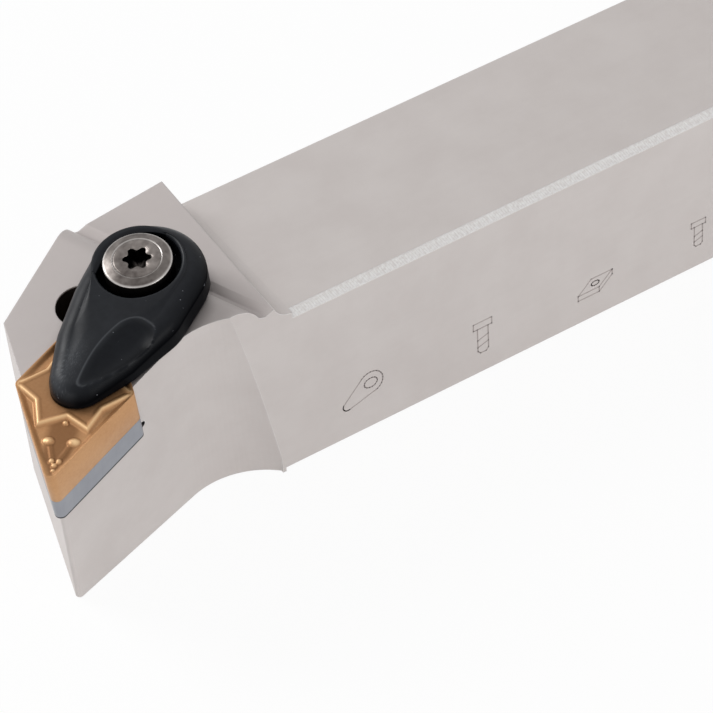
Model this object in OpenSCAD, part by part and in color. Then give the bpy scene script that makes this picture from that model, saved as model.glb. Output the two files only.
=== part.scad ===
// Right-hand turning tool holder with a rhombic insert, its shim and a top clamp.
// The nose points to -X and -Y, the shank runs along +X, and the base is the plane Z = 0.
// The origin lies under the middle of the overall length and of the overall width.

/* [Shank] */
// Length from the nose to the rear end
overall_length = 150; // [110:1:200]
// Width of the shank
shank_width = 25; // [24:0.5:28]
// Height of the shank
shank_height = 25; // [22:0.5:26]
// Leg of the flats along the upper edges
upper_edge_flat = 0.9; // [0.4:0.1:1.6]
// Leg of the flats along the lower edges
edge_flat = 0.6; // [0.2:0.1:1.2]
// Leg of the flat round the rear end
end_flat = 0.8; // [0.2:0.1:2]

/* [Head] */
// Distance from the far side of the shank to the nose
nose_offset = 32; // [31:0.5:34]
// Height of the nose above the base
nose_height = 25; // [24:0.5:30]
// Distance from the nose to the ridge that ends the head
head_length = 34.7; // [34:0.1:40]
// Radius of the cutter that leaves the hollow behind the ridge
ridge_fillet = 2.5; // [1:0.1:4]
// Rise of the seat along the shank, in degrees
back_rake = 7; // [5:0.5:9]
// Rise of the seat across the shank, in degrees
side_rake = 5; // [3:0.5:7]
// How far the head's top lies under the insert's top
front_drop = 0.3; // [0.1:0.1:1]
// How far the heel seat lies under the insert's top
heel_drop = 2.9; // [2.4:0.1:3.2]
// Distance from the nose centre to the foot of the step, square to the step
heel_reach = 32.5; // [32.2:0.1:33.2]
// How much deeper than the heel seat the foot of the step lies
foot_dip = 0.35; // [0.2:0.05:0.7]
// Length of the slope from the foot of the step up to the heel seat
dip_length = 1.1; // [0.8:0.1:1.6]
// Direction of the step, in degrees from the square of the shank
step_turn = 22.8; // [20:0.1:25]
// Radius over the upper edge of the step
step_edge_radius = 3.2; // [3:0.1:4]
// Radius in the foot of the step
step_foot_radius = 1; // [0.8:0.1:1.6]

/* [Head walls] */
// Set-in of the front wall from the insert's leading edge
front_set_in = 0.9; // [0.4:0.1:1.4]
// Set-in of the near flank from the insert's side edge
flank_set_in = 0.95; // [0.6:0.05:1.2]
// How much steeper than the insert the front wall stands, in degrees
front_steeper = 2.2; // [0:0.1:3]
// Length of the front wall from the tip to the far bevel
front_wall = 23; // [20:0.1:26]
// Direction of the far bevel in the seat, in degrees
bevel_turn = 31.5; // [20:0.5:45]
// Length of the straight flank, from the tip to the run-out
flank_length = 21.3; // [20:0.1:22]
// Radius of the run-out from the flank to the shank
flare_radius = 10.5; // [9:0.1:12]
// Radius along the tip edge of the head
tip_radius = 0.5; // [0.2:0.1:1.2]

/* [Insert] */
// Diameter of the insert's inscribed circle
inscribed_circle = 12.7; // [12:0.05:13]
// Angle of the insert's cutting corner
corner_angle = 55; // [53:0.5:57]
// Thickness of the insert
insert_thickness = 4.76; // [3:0.02:6.4]
// Radius of the insert's nose
nose_radius = 0.8; // [0.4:0.1:1.6]
// Diameter of the hole in the insert
insert_hole = 5.16; // [4.9:0.02:5.6]
// Direction of the insert's long diagonal from the shank's axis
insert_turn = 45.4; // [44:0.1:47]
// Width of the land along the cutting edges
land_width = 0.5; // [0.2:0.05:1]
// Depth of the chip groove
groove_depth = 0.3; // [0.1:0.05:0.6]

/* [Shim] */
// Thickness of the shim
shim_thickness = 3.18; // [2:0.02:4.8]
// Corner radius of the shim
shim_radius = 0.8; // [0.6:0.1:1.6]
// Diameter of the shim screw's stem
shim_screw = 4; // [3:0.1:4.5]
// Diameter of the shim screw's countersunk head
shim_screw_head = 7; // [6:0.1:8]
// Length of the shim screw
shim_screw_length = 11; // [8:0.5:14]

/* [Pocket] */
// Radius of the relief milled at the pocket's back corner
corner_relief = 3.1; // [2.6:0.1:3.3]
// Distance of that relief beyond the front back wall
relief_beyond = 1.1; // [0.8:0.1:1.4]
// Distance of that relief inside the rear back wall
relief_inside = 1.3; // [1:0.1:1.6]
// Radius of the groove in the foot of the back walls
foot_groove = 0.5; // [0.3:0.1:0.8]

/* [Clamp] */
// Distance from the insert's hole to the clamp screw
clamp_reach = 16.3; // [16.1:0.1:16.6]
// Direction of the clamp from the insert's long diagonal, in degrees
clamp_turn = 16.7; // [15:0.1:18]
// Height of the clamp's rim above the insert's top
rim_height = 4.5; // [4:0.1:5.5]
// Height of the clamp's tip above the insert's top
tip_height = 2.7; // [2.2:0.1:3.4]
// Radius of the clamp's tip in plan
clamp_tip_radius = 3.5; // [3:0.1:4]
// Radius rolled along the clamp's upper edge
clamp_roll = 2.1; // [1:0.1:2.1]
// Thickness of the clamp under the screw's head
seat_height = 1.7; // [1.2:0.1:2.2]
// Diameter of the counterbore for the screw's head
counterbore = 10.2; // [9.6:0.1:10.6]
// Radius inside the clamp's heel
clamp_heel_radius = 2.9; // [2.6:0.1:3]
// Radius in the corner under the clamp's heel
clamp_foot_radius = 1.2; // [0.8:0.1:1.6]
// Diameter of the nose that reaches into the insert's hole
hook_diameter = 4.4; // [3.6:0.1:4.6]
// Depth of that nose
hook_depth = 1.4; // [0.8:0.1:2]
// Radius of the thumb hollow at its wide end
hollow_radius = 5; // [4:0.1:5.5]
// Distance of its wide end behind the insert's hole
hollow_length = 6.3; // [5.5:0.1:7]
// Distance of its wide end to the near side of the clamp's middle line
hollow_side = 4.4; // [3.6:0.1:5]
// Depth of the thumb hollow
hollow_depth = 1.1; // [0.6:0.1:1.4]

/* [Clamp screw and spring] */
// Diameter of the screw's stem
screw_diameter = 5; // [4:0.1:5.2]
// Diameter of the screw's head
screw_head = 8.3; // [7.6:0.1:9]
// Height of the screw's head
screw_head_height = 3.5; // [3:0.1:4]
// Length of the stem under the head
stem_length = 19; // [15:0.5:22]
// Width of the six-lobe socket over its lobes
socket_width = 3.9; // [3:0.1:4.4]
// Depth of the socket
socket_depth = 2.2; // [1.4:0.1:2.6]
// Diameter of the spring wire
wire_diameter = 0.6; // [0.4:0.05:0.7]
// Turns of the spring
spring_turns = 5; // [4:1:7]
// Depth of the spring's pocket below the insert's top
spring_pocket_depth = 8; // [6.5:0.1:10]

/* [Clearances] */
// Radial play of a stem in its bore
bore_play = 0.05; // [0.02:0.01:0.1]
// Gap between faces of pieces that move against each other
contact_gap = 0.05; // [0.02:0.01:0.1]
// Gap between the insert and the pocket's walls
pocket_gap = 0.02; // [0:0.01:0.05]
// Gap between the clamp's heel and the top of the slope in front of the heel seat
heel_gap = 0.1; // [0.05:0.05:0.3]
// Gap round the spring
spring_play = 0.3; // [0.1:0.05:0.35]

/* [Hidden] */
$fn = 96;
// Reach of cuts that run out of the body
far = 200;
// Overlap that keeps joined solids from meeting in a bare face
bite = 0.5;

nose_x = -overall_length / 2;
rear_x = overall_length / 2;
nose_y = -nose_offset / 2;
far_y = nose_offset / 2;
near_y = far_y - shank_width;
ridge_x = nose_x + head_length;
shank_flat_x = ridge_x + ridge_fillet;

half_angle = corner_angle / 2;
half_circle = inscribed_circle / 2;
// Directions that the four sides of the insert face, counter-clockwise from the tip
side_normals = [90 + half_angle, 270 - half_angle, 270 + half_angle, 450 - half_angle, 450 + half_angle];
// Distance from the nose centre to the insert's hole
hole_x = (half_circle - nose_radius) / sin(half_angle);
back_corner_x = hole_x + half_circle / sin(half_angle);
seat_floor = -(insert_thickness + shim_thickness);
pocket_reach = half_circle + pocket_gap;

// Circles whose common outline is the clamp's plan: x, y and radius, x from the screw to the tip
tip_circle = [clamp_reach - 0.6, 0.4, clamp_tip_radius];
clamp_circles = [
    [0, 0.9, 7.1],
    [0.3 * clamp_reach, 1.2, 6.95],
    [0.64 * clamp_reach, 0.8, 5.6],
    tip_circle
];
clamp_sides = 64;
slope_start = 4;
slope_end = tip_circle[0] + tip_circle[2];
crown = 0.25;
clamp_bore = screw_diameter / 2 + bore_play;

spring_inner = screw_diameter / 2 + spring_play / 2;
spring_centre = spring_inner + wire_diameter / 2;
spring_pocket = spring_inner + wire_diameter + spring_play;

// Frames

// The seat: origin at the centre of the nose, in the plane of the insert's top
module seat() {
    translate([nose_x + nose_radius, nose_y + nose_radius, nose_height])
        rotate([side_rake, -back_rake, 0])
            children();
}

// The insert: as the seat, with x along the long diagonal towards the back corner
module insert_axes() {
    seat() rotate([0, 0, insert_turn]) children();
}

// The clamp: origin on the screw's axis, x towards the insert's hole, y towards the near side
module clamp_axes() {
    insert_axes()
        translate([hole_x, 0, 0])
            rotate([0, 0, -clamp_turn])
                translate([clamp_reach, 0, 0])
                    rotate([0, 0, 180])
                        children();
}

// The step: as the seat, with x square to the step and towards the rear
module step_axes() {
    seat() rotate([0, 0, step_turn]) children();
}

// The head's walls: as the insert's frame, with z along the edge where both walls meet
module wall_axes() {
    seat()
        rotate([0, front_steeper, 0])
            rotate([0, 0, insert_turn])
                children();
}

// Outlines

// Corners of the insert's rhombus when its sides lie at the given distance from the hole
function rhomb(reach) = [
    [hole_x - reach / sin(half_angle), 0],
    [hole_x, -reach / cos(half_angle)],
    [hole_x + reach / sin(half_angle), 0],
    [hole_x, reach / cos(half_angle)]
];

// Points along an arc, in even steps
function arc(centre, radius, start, end, steps) = [
    for (i = [0:steps])
        let (a = start + (end - start) * i / steps)
            centre + radius * [cos(a), sin(a)]
];

// The insert's rhombus with rounded corners
module rounded_rhomb(reach, radius) {
    corners = rhomb(reach - radius);
    polygon([
        for (i = [0:3])
            each arc(corners[i], radius, side_normals[i], side_normals[i + 1], 8)
    ]);
}

// Section through the step, with x to the rear and y up: everything below it is metal.
// One arc rolls over the upper edge and runs straight into the arc in the foot, and a slope
// may lead from the foot up to the heel seat.
module step_section(front, heel, foot_x, edge_radius, foot_radius, dip, slope) {
    both = edge_radius + foot_radius;
    turn = acos(1 - (front - heel + dip) / both);
    edge_centre = [foot_x - both * sin(turn), front - edge_radius];
    foot_centre = [foot_x, heel - dip + foot_radius];
    foot = arc(foot_centre, foot_radius, 270 - turn, 270, 12);
    polygon(concat(
        [[-far, -far], [-far, front]],
        arc(edge_centre, edge_radius, 90, 90 - turn, 12),
        [for (i = [1:len(foot) - 1]) foot[i]],
        slope > 0 ? [[foot_x + slope, heel]] : [],
        [[far, heel], [far, -far]]
    ));
}

module step_block(front, heel, foot_x, edge_radius, foot_radius, dip = 0, slope = 0) {
    step_axes()
        rotate([90, 0, 0])
            linear_extrude(height = far, center = true)
                step_section(front, heel, foot_x, edge_radius, foot_radius, dip, slope);
}

// Everything under the top of the head
module head_block() {
    step_block(
        -front_drop, -heel_drop, heel_reach,
        step_edge_radius, step_foot_radius, foot_dip, dip_length
    );
}

// The tip of the head's walls in the wall frame, from the set-ins of both walls
sharp_x = -nose_radius / sin(half_angle);
tip_along = (front_set_in + flank_set_in) / 2 / sin(half_angle);
tip_across = (flank_set_in - front_set_in) / 2 / cos(half_angle);
head_tip = [sharp_x + tip_along, tip_across];
front_dir = [cos(half_angle), sin(half_angle)];
flank_dir = [cos(half_angle), -sin(half_angle)];
flank_out = [-sin(half_angle), -cos(half_angle)];
bevel_dir = [cos(bevel_turn - insert_turn), sin(bevel_turn - insert_turn)];
bevel_start = head_tip + front_wall * front_dir;
run_out = head_tip + flank_length * flank_dir;
tip_centre = head_tip + [tip_radius / sin(half_angle), 0];

flare_centre = run_out + flare_radius * flank_out;

// Plan of the head in the wall frame
module head_plan() {
    polygon(concat(
        arc(tip_centre, tip_radius, 90 + half_angle, 270 - half_angle, 12),
        arc(flare_centre, flare_radius, 90 - half_angle, -half_angle, 24),
        [flare_centre + far * flank_dir, bevel_start + far * bevel_dir, bevel_start]
    ));
}

// Everything beside the run-out, which the side of the shank cuts off.
// It starts inside the metal, so that none of its edges lies in a wall.
module run_out_plan() {
    start = run_out - flank_dir - 4 * flank_out;
    polygon([
        start,
        start + far * flank_out,
        start + far * flank_out + far * flank_dir,
        start + far * flank_dir
    ]);
}

// Holder body

module head_walls() {
    difference() {
        intersection() {
            wall_axes()
                linear_extrude(height = far, center = true)
                    head_plan();
            translate([-far, -far, 0])
                cube([far + ridge_x, far + far_y, far]);
        }
        intersection() {
            wall_axes()
                linear_extrude(height = far, center = true)
                    run_out_plan();
            translate([-far, near_y - far, -far])
                cube([2 * far, far, 2 * far]);
        }
    }
}

// A long flat: removes the corner at y, z of the section, with legs of the given length
module long_flat(y, z, leg, start) {
    translate([start, y, z])
        rotate([45, 0, 0])
            translate([0, -leg / sqrt(2), -leg / sqrt(2)])
                cube([far, leg * sqrt(2), leg * sqrt(2)]);
}

// The flat round the rear end, as a frame that leaves a pyramid's stump
module end_flats() {
    for (turn = [0, 90, 180, 270])
        translate([rear_x, far_y - shank_width / 2, shank_height / 2])
            rotate([turn, 0, 0])
                translate([0, 0, (turn % 180 == 0 ? shank_height : shank_width) / 2])
                    rotate([0, 45, 0])
                        cube([end_flat * sqrt(2), 2 * shank_width, end_flat * sqrt(2)], center = true);
}

module shank() {
    difference() {
        translate([ridge_x - bite, near_y, 0])
            cube([rear_x - ridge_x + bite, shank_width, shank_height]);
        long_flat(near_y, shank_height, upper_edge_flat, shank_flat_x);
        long_flat(far_y, shank_height, upper_edge_flat, ridge_x);
        long_flat(near_y, 0, edge_flat, ridge_x);
        long_flat(far_y, 0, edge_flat, ridge_x);
        end_flats();
    }
}

// The hollow that runs from the ridge down to the top of the shank
module ridge_hollow() {
    difference() {
        translate([ridge_x - bite, near_y, shank_height - bite])
            cube([ridge_fillet + bite, shank_width - 1.5 * upper_edge_flat, ridge_fillet + bite]);
        translate([ridge_x + ridge_fillet, near_y - bite, shank_height + ridge_fillet])
            rotate([-90, 0, 0])
                cylinder(h = shank_width + 2 * bite, r = ridge_fillet);
    }
}

// Room for the insert and the shim, open to the nose and to both sides of it
module pocket() {
    corners = rhomb(pocket_reach);
    back = corners[2];
    to_near = [-cos(half_angle), -sin(half_angle)];
    to_front = [-cos(half_angle), sin(half_angle)];
    relief = back + relief_beyond * [sin(half_angle), cos(half_angle)]
        + (relief_inside + relief_beyond * cos(corner_angle)) / sin(corner_angle) * to_front;
    insert_axes() {
        translate([0, 0, seat_floor])
            linear_extrude(height = far)
                polygon([back, back + far * to_front, back + far * to_near]);
        translate([relief[0], relief[1], seat_floor])
            cylinder(h = far, r = corner_relief);
        for (way = [to_near, to_front])
            translate([back[0], back[1], seat_floor + foot_groove / 2])
                rotate([0, 90, atan2(way[1], way[0])])
                    cylinder(h = far, r = foot_groove);
    }
}

// Bores for the clamp screw, its spring and the shim screw
module body_bores() {
    clamp_axes() {
        translate([0, 0, seat_height - stem_length - 2])
            cylinder(h = far, r = screw_diameter / 2 + bore_play);
        translate([0, 0, -spring_pocket_depth])
            cylinder(h = far, r = spring_pocket);
    }
    insert_axes()
        translate([hole_x, 0, seat_floor - shim_screw_length])
            cylinder(h = far, r = shim_screw / 2 + bore_play);
}

module holder_body() {
    color("silver")
        difference() {
            union() {
                intersection() {
                    head_walls();
                    head_block();
                }
                shank();
                intersection() {
                    ridge_hollow();
                    head_block();
                }
            }
            pocket();
            body_bores();
        }
}

// Shim and its screw

module shim() {
    color("slategray")
        insert_axes()
            difference() {
                translate([0, 0, seat_floor])
                    linear_extrude(height = shim_thickness)
                        rounded_rhomb(half_circle, shim_radius);
                translate([hole_x, 0, seat_floor - bite])
                    cylinder(h = far, r = shim_screw / 2 + 2 * bore_play);
                shim_sink(bore_play);
            }
}

// The cone and the short rim of the countersunk head, grown by the given play
module shim_sink(play) {
    head = shim_screw_head / 2;
    stem = shim_screw / 2;
    translate([hole_x, 0, 0])
        rotate_extrude()
            polygon([
                [0, -insert_thickness + (play > 0 ? bite : -contact_gap - 0.2)],
                [head + play, -insert_thickness + (play > 0 ? bite : -contact_gap - 0.2)],
                [head + play, -insert_thickness - 0.5],
                [stem + play, -insert_thickness - 0.5 - (head - stem)],
                [0, -insert_thickness - 0.5 - (head - stem)]
            ]);
}

module shim_screw() {
    color("dimgray")
        insert_axes()
            difference() {
                union() {
                    shim_sink(0);
                    translate([hole_x, 0, seat_floor - shim_screw_length + 2])
                        cylinder(h = shim_screw_length - 2 + shim_thickness / 2, r = shim_screw / 2);
                }
                translate([hole_x, 0, -insert_thickness - 1.6])
                    lobed_socket(socket_width * 0.75, far);
            }
}

// A six-lobe socket of the given width over its lobes
module lobed_socket(width, height) {
    lobe = width * 0.13;
    for (i = [0:5])
        rotate([0, 0, 60 * i])
            translate([width / 2 - lobe, 0, 0])
                cylinder(h = height, r = lobe, $fn = 32);
    cylinder(h = height, r = width * 0.39);
}

// Insert

// The rear half of the island that the chip groove leaves standing, measured from the hole
island_half = [[0.5, -6.9], [0.5, -6.3], [2.3, -4.1], [5.6, -3.1], [4, 0], [5.6, 3.1], [2.3, 4.1], [0.5, 6.3], [0.5, 6.9]];

module island() {
    grow = inscribed_circle / 12.7;
    translate([hole_x, 0])
        polygon(grow * concat(island_half, [for (p = island_half) -p]));
}

// The groove between the land and the island, with two small bumps before the nose
module chip_groove() {
    linear_extrude(height = groove_depth + bite)
        difference() {
            rounded_rhomb(half_circle - land_width, nose_radius);
            island();
            for (side = [-1, 1])
                translate([hole_x - 7.5 * inscribed_circle / 12.7, 1.5 * side]) circle(0.7);
        }
}

module insert() {
    color("peru")
        insert_axes()
            difference() {
                translate([0, 0, -insert_thickness])
                    linear_extrude(height = insert_thickness)
                        rounded_rhomb(half_circle, nose_radius);
                translate([0, 0, -groove_depth]) chip_groove();
                mirror([0, 0, 1])
                    translate([0, 0, insert_thickness - groove_depth]) chip_groove();
                translate([hole_x, 0, -insert_thickness - bite])
                    cylinder(h = insert_thickness + 2 * bite, r = insert_hole / 2);
            }
}

// Clamp

// Point of the clamp's outline that faces the direction a, after the outline is drawn in by an inset
function outline_point(a, inset) = let (
    d = [cos(a), sin(a)],
    reach = [for (c = clamp_circles) c[0] * d[0] + c[1] * d[1] + c[2]],
    best = max(reach),
    c = [for (i = [0:len(reach) - 1]) if (reach[i] == best) clamp_circles[i]][0]
) [c[0], c[1]] + (c[2] - inset) * d;

// Height of the clamp's top: level round the screw, then down to the tip in one long curve
function clamp_top(x) = let (
    t = min(1, max(0, (x - slope_start) / (slope_end - slope_start)))
) rim_height - (rim_height - tip_height) * (0.6 * t + 0.4 * t * t);

roll_steps = 6;
inner_insets = [clamp_roll + 0.6, tip_circle[2] - 0.1];

function roll_ring(a, step) = let (
    turn = 90 * step / roll_steps,
    p = outline_point(a, clamp_roll * (1 - cos(turn)))
) [p[0], p[1], clamp_top(p[0]) - crown - clamp_roll * (1 - sin(turn))];

function inner_ring(a, k) = let (
    p = outline_point(a, inner_insets[k])
) [p[0], p[1], clamp_top(p[0]) - crown * (1 - k) / 2];

// Rings from the foot of the clamp to its top, then strips across the top
module clamp_loft() {
    angles = [for (i = [0:clamp_sides - 1]) 360 * (i + 0.5) / clamp_sides];
    foot = [for (a = angles) let (p = outline_point(a, 0)) [p[0], p[1], -heel_drop - bite]];
    rolls = [for (step = [0:roll_steps]) for (a = angles) roll_ring(a, step)];
    inners = [for (k = [0:len(inner_insets) - 1]) for (a = angles) inner_ring(a, k)];
    rings = 2 + roll_steps + len(inner_insets);
    n = clamp_sides;
    last = (rings - 1) * n;
    polyhedron(
        points = concat(foot, rolls, inners),
        faces = concat(
            [[for (i = [0:n - 1]) i]],
            [for (r = [0:rings - 2]) for (i = [0:n - 1])
                [r * n + i, (r + 1) * n + i, (r + 1) * n + (i + 1) % n]],
            [for (r = [0:rings - 2]) for (i = [0:n - 1])
                [r * n + i, (r + 1) * n + (i + 1) % n, r * n + (i + 1) % n]],
            [for (i = [0:n / 2 - 2])
                [last + i, last + n - 1 - i, last + n - 2 - i, last + i + 1]]
        ),
        convexity = 4
    );
}

// The thumb hollow: a round wide end that tapers to the tip
module thumb_hollow() {
    narrow = 0.3 * hollow_radius;
    wide_x = clamp_reach - hollow_length;
    narrow_x = tip_circle[0] + tip_circle[2] / 2;
    wide_at = [wide_x, hollow_side, clamp_top(wide_x) + hollow_radius - hollow_depth];
    narrow_at = [narrow_x, hollow_side / 2, clamp_top(narrow_x) + narrow - 0.7 * hollow_depth];
    way = narrow_at - wide_at;
    length = norm(way);
    pitch = acos(way[2] / length);
    lean = asin((hollow_radius - narrow) / length);
    translate(wide_at)
        rotate([0, pitch, atan2(way[1], way[0])])
            rotate_extrude()
                intersection() {
                    union() {
                        circle(hollow_radius);
                        translate([0, length]) circle(narrow);
                        polygon([
                            [0, 0],
                            hollow_radius * [cos(lean), sin(lean)],
                            [0, length] + narrow * [cos(lean), sin(lean)],
                            [0, length]
                        ]);
                    }
                    translate([0, -far]) square([far, 2 * far]);
                }
}

module clamp() {
    color("darkslategray")
        difference() {
            union() {
                difference() {
                    clamp_axes() clamp_loft();
                    step_block(
                        contact_gap, contact_gap - heel_drop, heel_reach + dip_length + heel_gap,
                        clamp_heel_radius, clamp_foot_radius
                    );
                }
                clamp_axes()
                    translate([clamp_reach, 0, -hook_depth])
                        cylinder(h = hook_depth + tip_height / 2, r = hook_diameter / 2);
            }
            clamp_axes() {
                thumb_hollow();
                translate([0, 0, seat_height])
                    cylinder(h = far, r = counterbore / 2);
                translate([0, 0, -far / 2])
                    cylinder(h = far, r = clamp_bore);
                translate([0, 0, -far])
                    cylinder(h = far, r = spring_pocket);
            }
        }
}

// Clamp screw

module clamp_screw() {
    head = screw_head / 2;
    rim = 0.15 * screw_head_height;
    ring = 0.69 * head;
    top = seat_height + contact_gap + screw_head_height;
    color("gray")
        clamp_axes()
            difference() {
                rotate_extrude()
                    polygon([
                        [0, seat_height - stem_length],
                        [screw_diameter / 2 - 0.6, seat_height - stem_length],
                        [screw_diameter / 2, seat_height - stem_length + 0.6],
                        [screw_diameter / 2, seat_height + contact_gap],
                        [head - 0.2, seat_height + contact_gap],
                        [head, seat_height + contact_gap + 0.2],
                        [head, top - rim - 0.1],
                        [head - 0.1, top - rim],
                        [ring, top],
                        [0, top]
                    ]);
                translate([0, 0, top - socket_depth])
                    lobed_socket(socket_width, far);
            }
}

// Clamp spring: a round wire wound about the screw, flat turns at both ends

module clamp_spring() {
    wire_sides = 8;
    steps = 16 * spring_turns;
    wire = wire_diameter / 2;
    bottom = wire - spring_pocket_depth;
    top = -contact_gap - wire;
    // Closed ends take one turn each, and the rest rises evenly
    function rise(t) = let (
        turns = t * spring_turns,
        closed = wire_diameter * 1.05,
        open = top - bottom - 2 * closed
    ) turns < 1 ? closed * turns
        : turns > spring_turns - 1 ? top - bottom - closed * (spring_turns - turns)
        : closed + open * (turns - 1) / (spring_turns - 2);
    color("gray")
        clamp_axes()
            polyhedron(
                points = [
                    for (i = [0:steps])
                        for (k = [0:wire_sides - 1])
                            let (
                                t = i / steps,
                                a = 360 * t * spring_turns,
                                b = 360 * k / wire_sides,
                                r = spring_centre + wire * cos(b)
                            ) [r * cos(a), r * sin(a), bottom + rise(t) + wire * sin(b)]
                ],
                faces = concat(
                    [[for (k = [0:wire_sides - 1]) k]],
                    [for (i = [0:steps - 1]) for (k = [0:wire_sides - 1])
                        [
                            i * wire_sides + k,
                            (i + 1) * wire_sides + k,
                            (i + 1) * wire_sides + (k + 1) % wire_sides
                        ]],
                    [for (i = [0:steps - 1]) for (k = [0:wire_sides - 1])
                        [
                            i * wire_sides + k,
                            (i + 1) * wire_sides + (k + 1) % wire_sides,
                            i * wire_sides + (k + 1) % wire_sides
                        ]],
                    [[for (k = [wire_sides - 1:-1:0]) steps * wire_sides + k]]
                ),
                convexity = 10
            );
}

holder_body();
shim();
shim_screw();
insert();
clamp();
clamp_screw();
clamp_spring();
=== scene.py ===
"""Turning tool holder: finishes, moulded pieces, stage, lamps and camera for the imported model."""

import logging
import math
from dataclasses import dataclass, field
from enum import Enum
from typing import Sequence

import bpy
import numpy as np
from mathutils import Matrix, Vector


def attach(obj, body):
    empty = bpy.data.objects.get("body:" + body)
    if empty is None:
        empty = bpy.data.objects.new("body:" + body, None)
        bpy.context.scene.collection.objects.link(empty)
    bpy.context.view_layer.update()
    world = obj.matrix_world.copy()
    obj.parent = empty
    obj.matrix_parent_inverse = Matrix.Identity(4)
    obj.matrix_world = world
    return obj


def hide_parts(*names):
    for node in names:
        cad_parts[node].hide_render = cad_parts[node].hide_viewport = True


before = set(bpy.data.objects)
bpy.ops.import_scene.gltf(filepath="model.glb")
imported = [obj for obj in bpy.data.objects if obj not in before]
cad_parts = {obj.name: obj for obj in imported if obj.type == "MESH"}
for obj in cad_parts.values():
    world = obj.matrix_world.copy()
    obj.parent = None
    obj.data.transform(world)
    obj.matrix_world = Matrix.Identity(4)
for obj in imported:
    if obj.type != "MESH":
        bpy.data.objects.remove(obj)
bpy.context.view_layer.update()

LOG = logging.getLogger("tool_holder")
MM = 0.001
# Name of the attribute that makes a finish darker or lighter from point to point: painted
# shade, painted highlights and plain tone
TONE = "tone"
FULL_TURN = 2.0 * math.pi
QUARTER_TURN = math.pi / 2.0


# Frames and grids


def add_object(name: str, data: bpy.types.ID) -> bpy.types.Object:
    """A new object in the scene.

    Args:
        name: Its name.
        data: Its mesh, lamp or camera.

    Returns:
        The object.
    """
    made = bpy.data.objects.new(name, data)
    bpy.context.scene.collection.objects.link(made)
    return made


def spokes(angle: np.ndarray) -> np.ndarray:
    """Unit directions in a plane.

    Args:
        angle: Angles in radians.

    Returns:
        Directions, with x and y in one more axis at the end.
    """
    return np.stack([np.cos(angle), np.sin(angle)], -1)


def steps(count: int, skip: int = 1) -> np.ndarray:
    """Even steps from 0 to 1, shaped to spread plan points over rows.

    Args:
        count: Number of steps before some are left out.
        skip: How many of the first ones are left out.

    Returns:
        An array of rows by 1 by 1.
    """
    return np.linspace(0.0, 1.0, count)[skip:, None, None]


def on_plan(flat: np.ndarray, z: np.ndarray) -> np.ndarray:
    """Joins plan points and heights.

    Args:
        flat: Points, last axis x, y.
        z: Heights.

    Returns:
        Points, last axis x, y, z.
    """
    return np.concatenate([flat, z[..., None]], -1)


def turn_about(axis: int, degrees: float) -> np.ndarray:
    """Rotation matrix about one axis.

    Args:
        axis: 0, 1 or 2 for X, Y or Z.
        degrees: Angle by the right-hand rule.

    Returns:
        A 3 by 3 matrix.
    """
    c, s = math.cos(math.radians(degrees)), math.sin(math.radians(degrees))
    one, two = (axis + 1) % 3, (axis + 2) % 3
    m = np.eye(3)
    m[one, one], m[one, two], m[two, one], m[two, two] = c, -s, s, c
    return m


@dataclass(frozen=True)
class Axes:
    """A local frame in millimetres, placed in the model's frame."""

    origin: np.ndarray
    turn: np.ndarray

    def moved(self, x: float, y: float = 0.0, z: float = 0.0) -> "Axes":
        """The frame moved along its own axes.

        Args:
            x: Distance along x in millimetres.
            y: Distance along y.
            z: Distance along z.

        Returns:
            The moved frame.
        """
        return Axes(self.origin + self.turn @ np.array([x, y, z]), self.turn)

    def turned(self, axis: int, degrees: float) -> "Axes":
        """The frame turned about one of its own axes.

        Args:
            axis: 0, 1 or 2 for x, y or z.
            degrees: Angle by the right-hand rule.

        Returns:
            The turned frame.
        """
        return Axes(self.origin, self.turn @ turn_about(axis, degrees))

    def place(self, points: np.ndarray) -> np.ndarray:
        """Local millimetres to metres of the model.

        Args:
            points: Array whose last axis is x, y, z.

        Returns:
            An array of the same shape.
        """
        return (points @ self.turn.T + self.origin) * MM


@dataclass(frozen=True)
class SeatLayout:
    """The raked seat and the frames that stand on it, with the sizes of the solid model."""

    nose: tuple[float, float, float] = (-75.0, -16.0, 25.0)
    nose_radius: float = 0.8
    back_rake: float = 7.0
    side_rake: float = 5.0
    insert_turn: float = 45.4
    half_circle: float = 6.35
    half_angle: float = 27.5
    clamp_turn: float = 16.7
    clamp_reach: float = 16.3
    step_turn: float = 22.8

    @property
    def hole_x(self) -> float:
        """Distance from the centre of the nose to the insert's hole.

        Returns:
            Millimetres.
        """
        return (self.half_circle - self.nose_radius) / math.sin(math.radians(self.half_angle))

    def seat(self) -> Axes:
        """Origin at the centre of the nose, z square to the insert's top.

        Returns:
            The seat's frame.
        """
        origin = np.array(self.nose) + np.array([self.nose_radius, self.nose_radius, 0.0])
        return Axes(origin, turn_about(1, -self.back_rake) @ turn_about(0, self.side_rake))

    def insert(self) -> Axes:
        """As the seat, with x along the insert's long diagonal.

        Returns:
            The insert's frame.
        """
        return self.seat().turned(2, self.insert_turn)

    def clamp(self) -> Axes:
        """Origin on the clamp screw's axis, x towards the insert's hole.

        Returns:
            The clamp's frame.
        """
        hole = self.insert().moved(self.hole_x).turned(2, -self.clamp_turn)
        return hole.moved(self.clamp_reach).turned(2, 180.0)

    def step_distance(self, clamp_points: np.ndarray) -> np.ndarray:
        """How far points of the clamp's frame lie along the step's direction.

        Args:
            clamp_points: Array whose last axis is x, y in the clamp's frame.

        Returns:
            Distances from the centre of the nose, square to the step.
        """
        turn = math.radians(self.insert_turn - self.clamp_turn)
        c, s = math.cos(turn), math.sin(turn)
        x = self.clamp_reach - clamp_points[..., 0]
        y = -clamp_points[..., 1]
        hole = self.hole_x * spokes(math.radians(self.insert_turn))
        seat_x = hole[0] + c * x - s * y
        seat_y = hole[1] + s * x + c * y
        way = math.radians(self.step_turn)
        return seat_x * math.cos(way) + seat_y * math.sin(way)


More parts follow.
